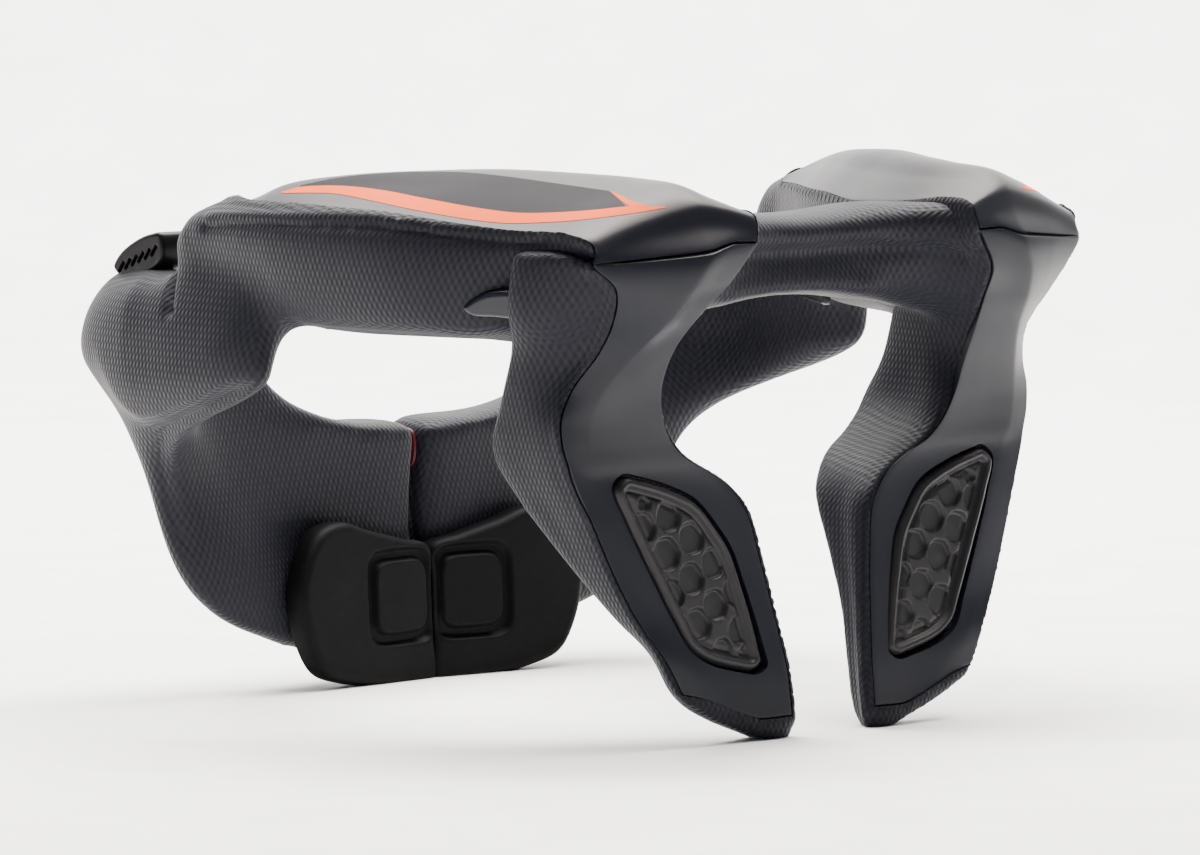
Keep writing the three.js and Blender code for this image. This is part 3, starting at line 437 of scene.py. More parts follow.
def widened(grid, by):
    """The grid with its border moved outwards in its own surface."""
    def reach(a, b):
        step = b - a
        return b + step / np.linalg.norm(step, axis=-1, keepdims=True) * by
    wide = np.concatenate([reach(grid[1], grid[0])[None], grid, reach(grid[-2], grid[-1])[None]])
    left = reach(wide[:, 1], wide[:, 0])[:, None]
    right = reach(wide[:, -2], wide[:, -1])[:, None]
    return np.concatenate([left, wide, right], axis=1)


def settle(obj):
    """Bakes the object's modifiers into its mesh."""
    graph = bpy.context.evaluated_depsgraph_get()
    mesh = bpy.data.meshes.new_from_object(obj.evaluated_get(graph), depsgraph=graph)
    obj.modifiers.clear()
    old, obj.data = obj.data, mesh
    bpy.data.meshes.remove(old)
    return obj


def cut(obj, tool, meets=True):
    """Cuts the tool's body out of the object, which it meets or not, and removes the tool."""
    before = len(obj.data.vertices)
    boolean = obj.modifiers.new("Cut", "BOOLEAN")
    boolean.operation, boolean.solver, boolean.object = "DIFFERENCE", "MANIFOLD", tool
    settle(obj)
    bpy.data.objects.remove(tool)
    if meets and len(obj.data.vertices) == before:
        raise RuntimeError(f"a cut left {obj.name} as it was")
    return obj


def remeshed(obj, grain, passes):
    """The object's overlapping bodies as one soft skin."""
    voxels = obj.modifiers.new("Weave", "REMESH")
    voxels.mode, voxels.voxel_size = "VOXEL", grain
    relax = obj.modifiers.new("Relax", "SMOOTH")
    relax.factor, relax.iterations = 0.5, passes
    return settle(obj)


def joined(parts):
    """One object from several."""
    bm = bmesh.new()
    for part in parts:
        bm.from_mesh(part.data)
    bm.to_mesh(parts[0].data)
    bm.free()
    for part in parts[1:]:
        bpy.data.objects.remove(part)
    return parts[0]


def mirror_of(obj, name):
    """The object's mirror image across the mid plane."""
    mesh = obj.data.copy()
    mesh.name = name
    mesh.transform(Matrix.Scale(-1, 4, Vector((1, 0, 0))))
    mesh.flip_normals()
    made = bpy.data.objects.new(name, mesh)
    bpy.context.scene.collection.objects.link(made)
    return made


def shaded(obj, degrees):
    """Smooth shading with edges sharper than an angle kept."""
    obj.data.polygons.foreach_set("use_smooth", [True] * len(obj.data.polygons))
    obj.data.set_sharp_from_angle(angle=math.radians(degrees))
    return obj


def finished(obj, degrees, look, nodes):
    """Gives a piece its shading, its finish and its place in the frame."""
    shaded(obj, degrees)
    obj.data.materials.clear()
    obj.data.materials.append(finish(look))
    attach(obj, "root")
    if nodes:
        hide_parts(*nodes)
    return obj


def pair_of(piece, degrees, look, nodes):
    """Finishes a piece and its mirror image; names and nodes end with their side."""
    name, side = piece.name.rsplit("_", 1)
    far_side = "left" if side == "right" else "right"
    for made, at in ((piece, side), (mirror_of(piece, f"{name}_{far_side}"), far_side)):
        finished(made, degrees, look, [f"{node}_{at}" for node in nodes])


def points_and_normals(obj):
    """The mesh's points in millimetres and its vertex normals."""
    count = len(obj.data.vertices)
    points, normals = np.zeros(count * 3), np.zeros(count * 3)
    obj.data.vertices.foreach_get("co", points)
    obj.data.vertex_normals.foreach_get("vector", normals)
    return points.reshape(-1, 3) / MM + (0, FOOTPRINT_MIDDLE, 0), normals.reshape(-1, 3)


def set_points(obj, points):
    """Puts points in millimetres back into the mesh."""
    row = (points - (0, FOOTPRINT_MIDDLE, 0)) * MM
    obj.data.vertices.foreach_set("co", row.ravel())
    obj.data.update()


def pressed(obj, line, width, depth):
    """Presses a soft groove of a width and depth along a line laid on the surface."""
    points, normals = points_and_normals(obj)
    tree = BVHTree.FromPolygons(points.tolist(), [p.vertices[:] for p in obj.data.polygons])
    near = np.full(len(points), 1e9)
    for p in line:
        laid = np.array(tree.find_nearest(Vector(p))[0])
        near = np.minimum(near, ((points - laid) ** 2).sum(1))
    amount = depth * np.exp(-near / (width / 2) ** 2)
    set_points(obj, points - normals * amount[:, None])


def band(value, low, high, soft):
    """1 from low to high, with a soft step at either side."""
    return ramp(value, low - soft, low) * (1 - ramp(value, high, high + soft))


def softened(obj, zones):
    """Softens the mesh further in each zone, where its three bands overlap."""
    ends = np.zeros(len(obj.data.edges) * 2, int)
    obj.data.edges.foreach_get("vertices", ends)
    a, b = ends.reshape(-1, 2).T
    count = np.bincount(ends, minlength=len(obj.data.vertices))[:, None]
    for across, forward, up, passes in zones:
        points, _ = points_and_normals(obj)
        x, y, z = points.T
        weight = band(np.abs(x), *across) * band(z, *up) * band(y, *forward)
        for _ in range(passes):
            total = [
                np.bincount(a, points[b, k], len(points))
                + np.bincount(b, points[a, k], len(points))
                for k in range(3)
            ]
            points += (np.stack(total, axis=1) / count - points) * 0.5 * weight[:, None]
        set_points(obj, points)


# Finishes
class Finish:
    """A material whose nodes are added one call at a time."""

    def __init__(self, name):
        self.material = bpy.data.materials.new(name)
        self.material.use_nodes = True
        self.tree = self.material.node_tree
        self.shader = self.tree.nodes["Principled BSDF"]

    def node(self, kind, inputs=(), **settings):
        """A node with its settings, and its inputs as values or links."""
        made = self.tree.nodes.new(kind)
        for key, value in settings.items():
            setattr(made, key, value)
        for key, value in dict(inputs).items():
            self.feed(made, key, value)
        return made

    def feed(self, node, key, value):
        """Sets one input of a node to a value or a link."""
        if isinstance(value, bpy.types.NodeSocket):
            self.tree.links.new(value, node.inputs[key])
        else:
            node.inputs[key].default_value = value

    def math(self, operation, a, b=0.0):
        """The result of a sum on two numbers."""
        return self.node("ShaderNodeMath", {0: a, 1: b}, operation=operation).outputs[0]

    def blend(self, factor, a, b):
        """A colour between two, at a factor."""
        ends = {0: factor, 6: (*a, 1.0), 7: (*b, 1.0)}
        return self.node("ShaderNodeMix", ends, data_type="RGBA").outputs[2]

    def noise(self, where, scale, detail):
        """An even noise at a scale."""
        inputs = {"Vector": where, "Scale": scale, "Detail": detail}
        return self.node("ShaderNodeTexNoise", inputs).outputs[0]

    def remap(self, value, low, high, to_low, to_high):
        """A number carried from one range to another."""
        return self.node("ShaderNodeMapRange", {
            "Value": value, "From Min": low, "From Max": high,
            "To Min": to_low, "To Max": to_high,
        }).outputs[0]

    def relief(self, strength, distance, height):
        """Normals of a relief of a height."""
        inputs = {"Strength": strength, "Distance": distance, "Height": height}
        return self.node("ShaderNodeBump", inputs).outputs[0]

    def shade(self, **inputs):
        """Sets inputs of the shader by their names, with _ for a space."""
        for key, value in inputs.items():
            self.feed(self.shader, key.replace("_", " "), value)
        return self.material


def grained(name, colour, roughness, spread, grain, bump, **more):
    """A plastic or rubber with a fine grain and uneven gloss."""
    made = Finish(name)
    where = made.node("ShaderNodeTexCoord").outputs["Object"]
    fine = made.noise(where, grain, 3.0)
    wide = made.noise(where, 22.0, 4.0)
    gloss = made.remap(wide, 0.3, 0.7, roughness - spread, roughness + spread)
    relief = made.relief(0.6, bump, fine)
    tint = made.blend(wide, [c * 0.9 for c in colour], [c * 1.1 for c in colour])
    return made.shade(Base_Color=tint, Roughness=gloss, Normal=relief, **more)


def woven(sizes, colour):
    """Embossed cover fabric: staggered leaning cells with a soft sheen, painted shade in the cells'
    hollows and painted highlight on their ridges.
    """
    made = Finish("Cover_fabric")
    coords = made.node("ShaderNodeTexCoord")
    where = made.node("ShaderNodeSeparateXYZ", {0: coords.outputs["Object"]}).outputs
    facing = made.node("ShaderNodeSeparateXYZ", {0: coords.outputs["Normal"]}).outputs
    weights = [made.math("POWER", made.math("ABSOLUTE", facing[k]), 6.0) for k in range(3)]
    whole = made.math("ADD", made.math("ADD", weights[0], weights[1]), weights[2])
    row, cell = math.pi / sizes.row_pitch, 2 * math.pi / sizes.cell_pitch
    height = None
    for k, (along, up) in enumerate(((1, 2), (0, 2), (0, 1))):
        lean = made.math("ADD", where[along], made.math("MULTIPLY", where[up], 0.28))
        wave = made.math("COSINE", made.math("MULTIPLY", lean, cell))
        step = made.math("COSINE", made.math("MULTIPLY", where[up], row))
        part = made.math("MULTIPLY", made.math("MULTIPLY", wave, step), weights[k])
        height = part if height is None else made.math("ADD", height, part)
    height = made.math("ADD", made.math("MULTIPLY", made.math("DIVIDE", height, whole), 0.5), 0.5)
    thread = made.noise(coords.outputs["Object"], 1900.0, 2.0)
    raised = made.math("ADD", made.math("POWER", height, 0.7), made.math("MULTIPLY", thread, 0.12))
    relief = made.relief(1.0, sizes.weave_depth, raised)
    # Painted shade and highlight: the base colour darkens in the weave's hollows and lightens on
    # its ridges
    tint = made.blend(height, [c * 0.55 for c in colour], [c * 1.35 for c in colour])
    gloss = made.remap(height, 0.0, 1.0, 0.72, 0.47)
    return made.shade(
        Base_Color=tint, Roughness=gloss, Normal=relief,
        Sheen_Weight=0.07, Sheen_Roughness=0.35, Specular_IOR_Level=0.15,
    )


def finish(name):
    """One of the brace's finishes, made once."""
    known = bpy.data.materials.get(name)
    if known:
        return known
    colours = bpy.context.scene.brace_colours
    if name == "Cover_fabric":
        return woven(bpy.context.scene.brace_sizes, colours.cover)
    # Gleam, colour, roughness and its spread, grain and depth of the grain
    recipes = {
        "Top_skin": (0.24, colours.skin, 0.40, 0.035, 2600.0, 0.00003),
        "Back_skin": (0.20, colours.skin, 0.42, 0.035, 2600.0, 0.00003),
        "Comb_rubber": (0.22, colours.comb, 0.44, 0.05, 2400.0, 0.00004),
        "Chest_foam": (0.09, colours.chest, 0.62, 0.05, 1700.0, 0.00012),
        "Latch_plastic": (0.16, colours.latch, 0.34, 0.04, 2200.0, 0.00004),
        "Cap_plastic": (0.24, colours.skin, 0.24, 0.03, 2600.0, 0.00001),
        "Stripe_print": (0.06, colours.stripe, 0.62, 0.03, 2600.0, 0.00002),
        "Patch_print": (0.09, [c * 0.8 for c in colours.skin], 0.62, 0.02, 2600.0, 0.00002),
        "Tab_plastic": (0.16, colours.tab, 0.45, 0.04, 1800.0, 0.00004),
    }
    gleam, *look = recipes[name]
    warm = name in ("Top_skin", "Patch_print", "Stripe_print")
    tint = (1.0, 0.92, 0.84, 1.0) if warm else (1.0, 1.0, 1.0, 1.0)
    return grained(name, *look, Specular_IOR_Level=gleam, Specular_Tint=tint)


# Padded bodies
def wing_point(row, x, z):
    """A point of the wing at a share of its width."""
    return place(x, mix(row["yIn"], row["yOut"], (x - row["xIn"]) / (row["xOut"] - row["xIn"])), z)


def wing_section(row):
    """Inner edge, crest, seam, tucked underside and inner wall of the wing."""
    width = row["xOut"] - row["xIn"]
    tuck, lift = min(6.0, width * 0.3), 2.0
    return [
        wing_point(row, row["xIn"], row["zIn"]),
        wing_point(row, row["xCrest"], row["zCrest"]),
        wing_point(row, row["xOut"], row["zSeam"]),
        wing_point(row, row["xOut"] - tuck, row["zLow"] + lift),
        wing_point(row, row["xOut"] - width * 0.35, row["zLow"]),
        wing_point(row, row["xIn"] + width * 0.22, row["zLow"] - lift / 2),
        wing_point(row, row["xIn"] + width * 0.02, mix(row["zLow"], row["zIn"], 0.3)),
    ]


def wing_body():
    """The padded wing on the right."""
    rear = {**WING[0], "xOut": WING[0]["xOut"] - 1.6, "xIn": WING[0]["xIn"] + 0.8}
    return lofted("wing", rings_of([wing_section(r) for r in [rear, *WING[1:]]], 110, 96))


def leg_section(row):
    """Panel edges and ridge, then the flap, the front corners and the inner wall of the leg."""
    def point(x, y):
        tilt = (x - row["xIn"]) / (row["xOut"] - row["xIn"])
        return place(x, y, mix(row["zIn"], row["zOut"], tilt))
    lip, step, back = 2.33, 0.8, 1.23
    return [
        point(row["xIn"] - lip, row["yIn"] + back),
        point(row["xIn"] + step, row["yIn"]),
        point(row["xRidge"], row["yRidge"]),
        point(row["xOut"] - step, row["yOut"]),
        point(row["xOut"] + step, row["yOut"] + back),
        point(mix(row["xOut"], row["xFo"], 0.62) + step, mix(row["yOut"], row["yFo"], 0.5)),
        point(row["xFo"] - step, row["yFo"]),
        point(mix(row["xFo"], row["xFi"], 0.5), mix(row["yFo"], row["yFi"], 0.5) + back / 2),
        point(row["xFi"], row["yFi"]),
        point(mix(row["xIn"] - lip, row["xFi"], 0.5), mix(row["yIn"], row["yFi"], 0.5)),
    ]


def leg_body():
    """The padded leg on the right, with its flap drawn up beside the wing."""
    top = {**LEG[0], "zIn": LEG[0]["zIn"] - 0.8, "zOut": LEG[0]["zOut"] - 0.8}
    sections = [leg_section(r) for r in [top, *LEG[1:]]]
    for k, rise in FLAP_RISE.items():
        sections[0][k] = sections[0][k] + (0, 0, rise)
    return lofted("leg", rings_of(sections, 150, 100))


def lobe_section(row):
    """Chest face, side wall, window rim, outer side and front of the lobe."""
    inner = row["xSide"] - row["wall"]
    turn, rim = 9.0, 2.1
    slope = min(row["xEnd"], 13.0, (row["xSide"] - turn - row["xEnd"]) * 0.5)
    lead = min(2 * rim, (row["yFace"] - row["yRim"]) * 0.3)
    outline = [
        (row["xEnd"], row["yFace"]),
        (mix(row["xEnd"], inner, 0.5), row["yFace"] - 1),
        (inner - 3, mix(row["yFace"], row["yRim"], 0.25)),
        (inner, mix(row["yFace"], row["yRim"], 0.7)),
        (inner + row["wall"] * 0.2, row["yRim"] + lead),
        (inner + row["wall"] * 0.6, row["yRim"] + rim * 0.6),
        (row["xSide"] - 0.6, row["yRim"] + rim),
        (row["xSide"], mix(row["yRim"], row["yFront"], 0.55)),
        (row["xSide"] - turn, row["yFront"] - turn * 0.35),
        (mix(row["xEnd"] + slope, row["xSide"] - turn, 0.5), row["yFront"]),
        (row["xEnd"] + slope, row["yFront"] - rim / 2),
    ]
    return [place(x, y, row["z"]) for x, y in outline]


def lobe_body():
    """The padded lobe and half of the chest plate on the right."""
    rings = rings_of([lobe_section(r) for r in LOBE], 140, 120)
    rings[..., 0] = np.maximum(rings[..., 0], 1.0)
    return lofted("lobe", rings)


def bridge_section(row):
    """Rolled top, hollow rear face and lip of the bridge."""
    height, proud = row["zTop"] - row["zLow"], 1.75
    rear, front, low = row["yRear"], row["yFront"], row["yLow"]
    outline = [
        (mix(rear, low, 0.3), row["zTop"] - height * 0.42),
        (rear - proud, row["zTop"] - height * 0.27),
        (rear - proud * 0.4, row["zTop"] - height * 0.07),
        (mix(rear, front, 0.3), row["zTop"]),
        (mix(rear, front, 0.85), row["zTop"] - height * 0.08),
        (front, row["zTop"] - height * 0.45),
        (mix(rear, front, 0.85), row["zLow"] + height * 0.06),
        (mix(low, front, 0.35), row["zLow"]),
        (low, row["zLow"] + height * 0.12),
        (mix(low, rear, 0.35) + proud * 0.5, row["zLow"] + height * 0.3),
    ]
    return np.array([place(row["x"], y, z) for y, z in outline])


def bridge_body():
    """The padded bridge between the legs."""
    half = [bridge_section(r) for r in BRIDGE]
    other = [s * (-1, 1, 1) for s in half[:0:-1]]
    return lofted("bridge", rings_of([*other, *half], 110, 72))


# Hard skins
def folded(rails, columns, crisp):
    """A grid across the rails: smooth curves, drawn towards straight folds where crisp is high."""
    smooth = spline(rails.transpose(1, 0, 2), columns).transpose(1, 0, 2)
    at = np.linspace(0, rails.shape[1] - 1, columns + 1)
    k = np.minimum(at.astype(int), rails.shape[1] - 2)
    straight = mix(rails[:, k], rails[:, k + 1], (at - k)[None, :, None])
    return mix(smooth, straight, crisp[:, None, None])


def edge_line(grid, by):
    """Lines along a grid's inner side, outer side and end, moved outwards by a distance."""
    wide = widened(grid, by)
    return np.concatenate([line[::2] for line in (wide[:, 0], wide[:, -1], wide[-1])])


def skin_row(row):
    """Inner edge, slope, crest, slope and outer edge of the top skin at a row of the wing."""
    x = mix(row["xCrest"], row["xOut"], row["cover"])
    z = mix(row["zCrest"], row["zSeam"], row["cover"])
    inner = wing_point(row, row["xIn"] + 0.5, row["zIn"])
    crest = wing_point(row, row["xCrest"], row["zCrest"])
    slope = wing_point(row, mix(row["xCrest"], x, 0.5), mix(row["zCrest"], z, 0.4))
    return [inner, mix(inner, crest, 0.5) + (0, 0, 0.7), crest, slope, wing_point(row, x, z)]


def panel_row(row):
    """Inner edge, slope, ridge, slope and outer edge of the back skin at a row of the leg."""
    return [
        place(row["xIn"], row["yIn"], row["zIn"]),
        place(mix(row["xIn"], row["xRidge"], 0.5), mix(row["yIn"], row["yRidge"], 0.5), row["zIn"]),
        place(row["xRidge"], row["yRidge"], mix(row["zIn"], row["zOut"], 0.5)),
        place(
            mix(row["xRidge"], row["xOut"], 0.5), mix(row["yRidge"], row["yOut"], 0.45),
            mix(row["zIn"], row["zOut"], 0.8),
        ),
        place(row["xOut"], row["yOut"], row["zOut"]),
    ]


def nose_row():
    """The top skin's front end."""
    nose = WING[WING_SKIN_ROWS]
    tip = mix(WING[WING_SKIN_ROWS - 1]["yIn"], nose["yIn"], 0.8)
    return [
        place(nose["xIn"] - 1.4, tip, nose["zIn"] + 1.2),
        place(nose["xIn"] - 0.9, tip, nose["zIn"] + 1.8),
        place(nose["xIn"] - 0.4, tip, nose["zIn"] + 2.2),
        place(mix(nose["xIn"], nose["xCrest"], 0.4), tip, nose["zIn"] + 2.6),
        place(nose["xCrest"] - 1.4, tip, nose["zCrest"] - 0.4),
    ]


def skin_strip():
    """The outer face of both skins of one side, from the wing's nose to the leg's tip."""
    rows = [nose_row(), *[skin_row(r) for r in WING[WING_SKIN_ROWS - 1::-1]]]
    rows += [panel_row(r) for r in LEG[:LEG_SKIN_ROWS]]
    rails = spline(rows, SPAN * (len(rows) - 1))
    lip = SPAN * (WING_SKIN_ROWS + 1)
    crisp = 0.55 * ramp(np.arange(len(rails)), lip - 3.5 * SPAN, lip)
    return folded(rails, SKIN_COLUMNS, crisp), lip


def top_grid():
    """Outer face of the top skin, from its lip over the back skin to the wing's nose."""
    strip, lip = skin_strip()
    return strip[lip - WITNESS::-1]


def back_grid():
    """Outer face of the back skin, from a tongue under the lip down."""
    strip, lip = skin_strip()
    inward = place(*LEG_INWARD) / np.linalg.norm(place(*LEG_INWARD))
    outer_end = ramp(np.arange(SKIN_COLUMNS + 1), SKIN_COLUMNS - 6, SKIN_COLUMNS)
    sink = TONGUE * (1 - 0.85 * outer_end)
    return np.concatenate([[strip[lip - WITNESS] + inward * sink[:, None]], strip[lip:]])


def pockets(sizes):
    """The rooms that the two skins take in the covers."""
    gap, skin = sizes.skin_gap / MM, sizes.skin / MM
    top, back = top_grid(), back_grid()
    wide_back = widened(back, gap)
    return [
        sheet_of("top_room", widened(top, gap), place(*WING_INSIDE), 3 * skin, skin + 0.4),
        sheet_of("back_room", wide_back, wide_back + place(*LEG_INWARD), 2 * skin, skin + 0.3),
    ]


# Plates whose face is a height over an outline
def slab(name, outline, height, back, to_frame, around=300, rings=84):
    """A plate over a closed outline: its face is height(distance in, across, up)."""
    loop = spline(np.array(outline, float), 32 * len(outline), closed=True)
    walk = np.linalg.norm(np.roll(loop, -1, axis=0) - loop, axis=1)
    along = np.concatenate([[0], np.cumsum(walk)])
    whole = np.concatenate([loop, loop[:1]])
    even = np.linspace(0, along[-1], around, endpoint=False)
    rim = np.stack([np.interp(even, along, whole[:, k]) for k in (0, 1)], axis=1)
    middle = rim.mean(0)
    points = []
    for share_in in np.linspace(0, 1, rings, endpoint=False):
        ring = mix(rim, middle, share_in)
        inset = np.sqrt(((ring[:, None] - loop[None]) ** 2).sum(2).min(1))
        inset = inset if share_in else np.zeros(around)
        points.append(np.column_stack([ring, height(inset, *ring.T)]))
    faces = grid_faces(rings, around, wrap=True)
    points = np.concatenate(points)
    top = len(points)
    centre = np.array([[*middle, height(np.array([FAR_IN]), middle[:1], middle[1:])[0]]])
    base = np.column_stack([rim, np.full(around, back)])
    points = np.concatenate([points, centre, base, [[*middle, back]]])
    inner = (rings - 1) * around
    for j in range(around):
        k = (j + 1) % around
        faces += [
            (inner + j, inner + k, top),
            (j, top + 1 + j, top + 1 + k, k),
            (top + 1 + j, top + 1 + around, top + 1 + k),
        ]
    return mesh_object(name, to_frame(points), faces)


def framed(at, turn, rise):
    """A plate's own frame: turned about its upright, leaned, and put at a point."""
    rotation = np.array(Matrix.Rotation(turn, 3, "Z") @ Matrix.Rotation(rise, 3, "X"))
    return lambda points: points @ rotation.T + at


COMB_FRAME = framed(np.array(COMB_MIDDLE), 0.0, math.pi / 2 - COMB_LEAN)
COMB_LOCAL = [
    (x - COMB_MIDDLE[0], (z - COMB_MIDDLE[2]) / math.cos(COMB_LEAN)) for x, z in COMB_OUTLINE
]


def comb_well(depth):
    """The opening that the honeycomb pad fits with its moat."""
    middle = np.mean(COMB_LOCAL, axis=0)
    wide = [p + (p - middle) / np.linalg.norm(p - middle) * MOAT for p in np.array(COMB_LOCAL)]
    def height(inset, x, y):
        return np.full(len(x), WELL_RISE)
    return slab("well", wide, height, -depth, COMB_FRAME, around=160, rings=3)


def edge_drop(inset, width):
    """How far a quarter-round edge lies below the face: 1 at the outline, 0 from width inwards."""
    return 1 - np.sqrt(1 - (1 - np.clip(inset / width, 0, 1)) ** 2)


def comb_height(inset, x, y):
    """Rim, moat, and a field of soft hexagonal pits."""
    depth, face = np.array(COMB_PROFILE).T
    height = np.interp(inset, depth, face)
    pit = np.zeros(len(x))
    for cx, cz, size in COMB_CELLS:
        u, v = x - (cx - COMB_MIDDLE[0]), y - (cz - COMB_MIDDLE[2])
        turns = [PIT_TURN + k * math.pi / 3 for k in range(3)]
        across = [u * math.cos(a) + v * math.sin(a) for a in turns]
        reach = sum(np.abs(k) ** 6 for k in across) ** (1 / 6)
        pit = np.maximum(pit, ramp(size + 0.4 - reach, 0.0, PIT_WALL))
    return height - PIT_DEPTH * pit * ramp(inset, *COMB_FIELD)


def chest_height(inset, x, y):
    """Rounded pad with a groove round a raised block."""
    height = CHEST_THICK - 3.4 * edge_drop(inset, 3.6)
    u, v = np.abs(x - CHEST_BLOCK[0]), np.abs(y - CHEST_BLOCK[1])
    reach = (u**5 + v**5) ** 0.2
    inner, outer, depth = CHEST_GROOVE
    groove = ramp(reach, *inner) * (1 - ramp(reach, *outer))
    return height + CHEST_CROWN * ramp(inset, 0, 20) - depth * groove * ramp(inset, 0.5, 4)


def latch_height(inset, x, y):
    """Wedge face with six slanted slots."""
    height = LATCH_DEPTH - LATCH_EDGE * edge_drop(inset, LATCH_EDGE)
    first, last = place(0, *LATCH_OUTLINE[0])[1:], place(0, *LATCH_OUTLINE[3])[1:]
    run, fall = SLOT_LEAN
    for at in np.linspace(0.14, 0.90, SLOT_COUNT):
        middle = mix(first, last, at) - (0, SLOT_DROP)
        u, v = x - middle[0], y - middle[1]
        along, across = np.abs(u * run - v * fall), np.abs(u * fall + v * run)
        slot = ramp(SLOT_HALF[0] - along, 0, 0.5) * ramp(SLOT_HALF[1] - across, 0, 0.4)
        height = height - SLOT_DEPTH * slot
    return height


def rounded(face, edge):
    """A flat face with a round edge."""
    return lambda inset, x, y: face - edge * edge_drop(inset, edge)


# The photograph's camera
def camera_axes():
    """Right, up and back of the camera, and its place, in millimetres from the row's origin."""
    turn, rise = math.radians(CAMERA_TURN), math.radians(CAMERA_RISE)
    level = math.cos(rise)
    back = np.array([math.sin(turn) * level, -math.cos(turn) * level, math.sin(rise)])
    right = np.array([math.cos(turn), math.sin(turn), 0.0])
    up = np.cross(back, right)
    shift = CAMERA_SHIFT
    return right, up, back, right * shift[0] + up * shift[1] + back * shift[2] + CAMERA_AIM


def decal(name, onto):
    """A thin print between two edges, laid on a skin along the camera's sight lines."""
    upper, lower, rise = PRINTS[name]
    right, up, back, eye = camera_axes()
    tree = BVHTree.FromObject(onto, bpy.context.evaluated_depsgraph_get())
    edges = [spline(np.array(e, float), PRINT_STEPS) for e in (upper, lower)]
    grid = np.zeros((PRINT_ROWS, PRINT_STEPS + 1, 3))
    normals = np.zeros_like(grid)
    for i, t in enumerate(np.linspace(0, 1, PRINT_ROWS)):
        for j, (x, y) in enumerate(mix(edges[0], edges[1], t)):
            ray = right * (x - PICTURE[0] / 2) + up * (PICTURE[1] / 2 - y)
            ray = ray / (CAMERA_LENS / CAMERA_SENSOR * PICTURE[0]) - back
            hit, normal, _, _ = tree.ray_cast(Vector(eye * MM), Vector(ray).normalized())
            if not hit:
                raise RuntimeError(f"a sight line to the {name} misses the skin")
            grid[i, j], normals[i, j] = hit, normal
    grid = grid / MM + (0, FOOTPRINT_MIDDLE, 0)
    return closed_sheet(f"{name}_left", grid, normals, rise, PRINT_ROOT)


def floor_block():
    """A block below the surface that the brace stands on."""
    corners = [(x, y, z) for z in (-60, 0) for y in (-60, 360) for x in (-300, 300)]
    faces = [(0, 1, 3, 2), (4, 6, 7, 5), (0, 4, 5, 1), (2, 3, 7, 6), (0, 2, 6, 4), (1, 5, 7, 3)]
    return mesh_object("below_floor", corners, faces)


def round_edges(obj, width):
    """Rounds the sharp edges of a sheet."""
    bevel = obj.modifiers.new("Edge", "BEVEL")
    bevel.width, bevel.segments, bevel.limit_method = width, 3, "ANGLE"
    bevel.angle_limit = math.radians(50)
    return settle(obj)


def creased(cover):
    """Lets the side cover's outer side fall back below the crease, under a soft roll."""
    points, normals = points_and_normals(cover)
    below = np.interp(points[:, 1], CREASE[:, 0], CREASE[:, 1]) - points[:, 2]
    side = ramp(normals[:, 0], 0.1, 0.6) * ramp(points[:, 1], 150, 180)
    corner = ramp(points[:, 1], 228, 262)
    start = mix(4, 30, corner)
    fall = ramp((below + start) / (start + 5), 0, 1) * (1 - ramp(below, 15, 70))
    roll = np.exp(-(((below + 12) / 10) ** 2)) * (1 - corner)
    out = (ROLL_RISE * roll - CREASE_FALL * fall) * side
    set_points(cover, points + normals * out[:, None])


class BraceOperator:
    """What the brace's operators share."""

    bl_options = {"REGISTER", "UNDO"}


class BRACE_OT_rear_cover(BraceOperator, bpy.types.Operator):
    """Build the padded cover of both legs and the bridge"""

    bl_idname = "brace.rear_cover"
    bl_label = "Rear cover"

    def execute(self, context):
        sizes = context.scene.brace_sizes
        right = leg_body()
        left = mirror_of(right, "leg_left")
        cover = joined([right, left, bridge_body()])
        cover.name = "cover_rear"
        remeshed(cover, sizes.weave, sizes.relax)
        softened(cover, REAR_SOFT)
        crease = [bridge_section(r)[0] for r in BRIDGE[:5]]
        crease = spline([p * (-1, 1, 1) for p in crease[:0:-1]] + crease, 90)
        pressed(cover, crease - (0, 0, 2.0), width=7.0, depth=1.8)
        welt = edge_line(back_grid(), 2.2)
        for side in (1, -1):
            pressed(cover, welt * (side, 1, 1), width=4.4, depth=-1.3)
        for room in [*pockets(sizes), comb_well(WELL_IN_COVER)]:
            meets = room.name != "top_room"
            cut(cover, mirror_of(room, "room_left"), meets)
            cut(cover, room, meets)
        cut(cover, floor_block())
        nodes = ["rear_bridge", "rear_leg_right", "rear_leg_left"]
        finished(cover, 38, "Cover_fabric", nodes)
        return {"FINISHED"}


class BRACE_OT_side_covers(BraceOperator, bpy.types.Operator):
    """Build the padded covers of the wings and lobes"""

    bl_idname = "brace.side_covers"
    bl_label = "Side covers"

    def execute(self, context):
        sizes = context.scene.brace_sizes
        cover = joined([wing_body(), lobe_body()])
        cover.name = "cover_right"
        remeshed(cover, sizes.weave, sizes.relax)
        softened(cover, SIDE_SOFT)
        creased(cover)
        seam = [place(r["xOut"], r["yOut"], r["zSeam"] - 0.7) for r in WING[2:10]]
        seam = spline(seam, 160)
        pressed(cover, seam, width=3.6, depth=1.2)
        pressed(cover, seam + (0, 0, 4.2), width=4.4, depth=-0.9)
        pressed(cover, edge_line(top_grid(), 2.0), width=4.0, depth=-0.7)
        pressed(cover, spline(LATCH_SLIT, 24), width=4.0, depth=3.4)
        for room in pockets(sizes):
            cut(cover, room, meets=room.name == "top_room")
        cut(cover, floor_block())
        nodes = ["side_wing", "front_lobe"]
        pair_of(cover, 38, "Cover_fabric", nodes)
        return {"FINISHED"}


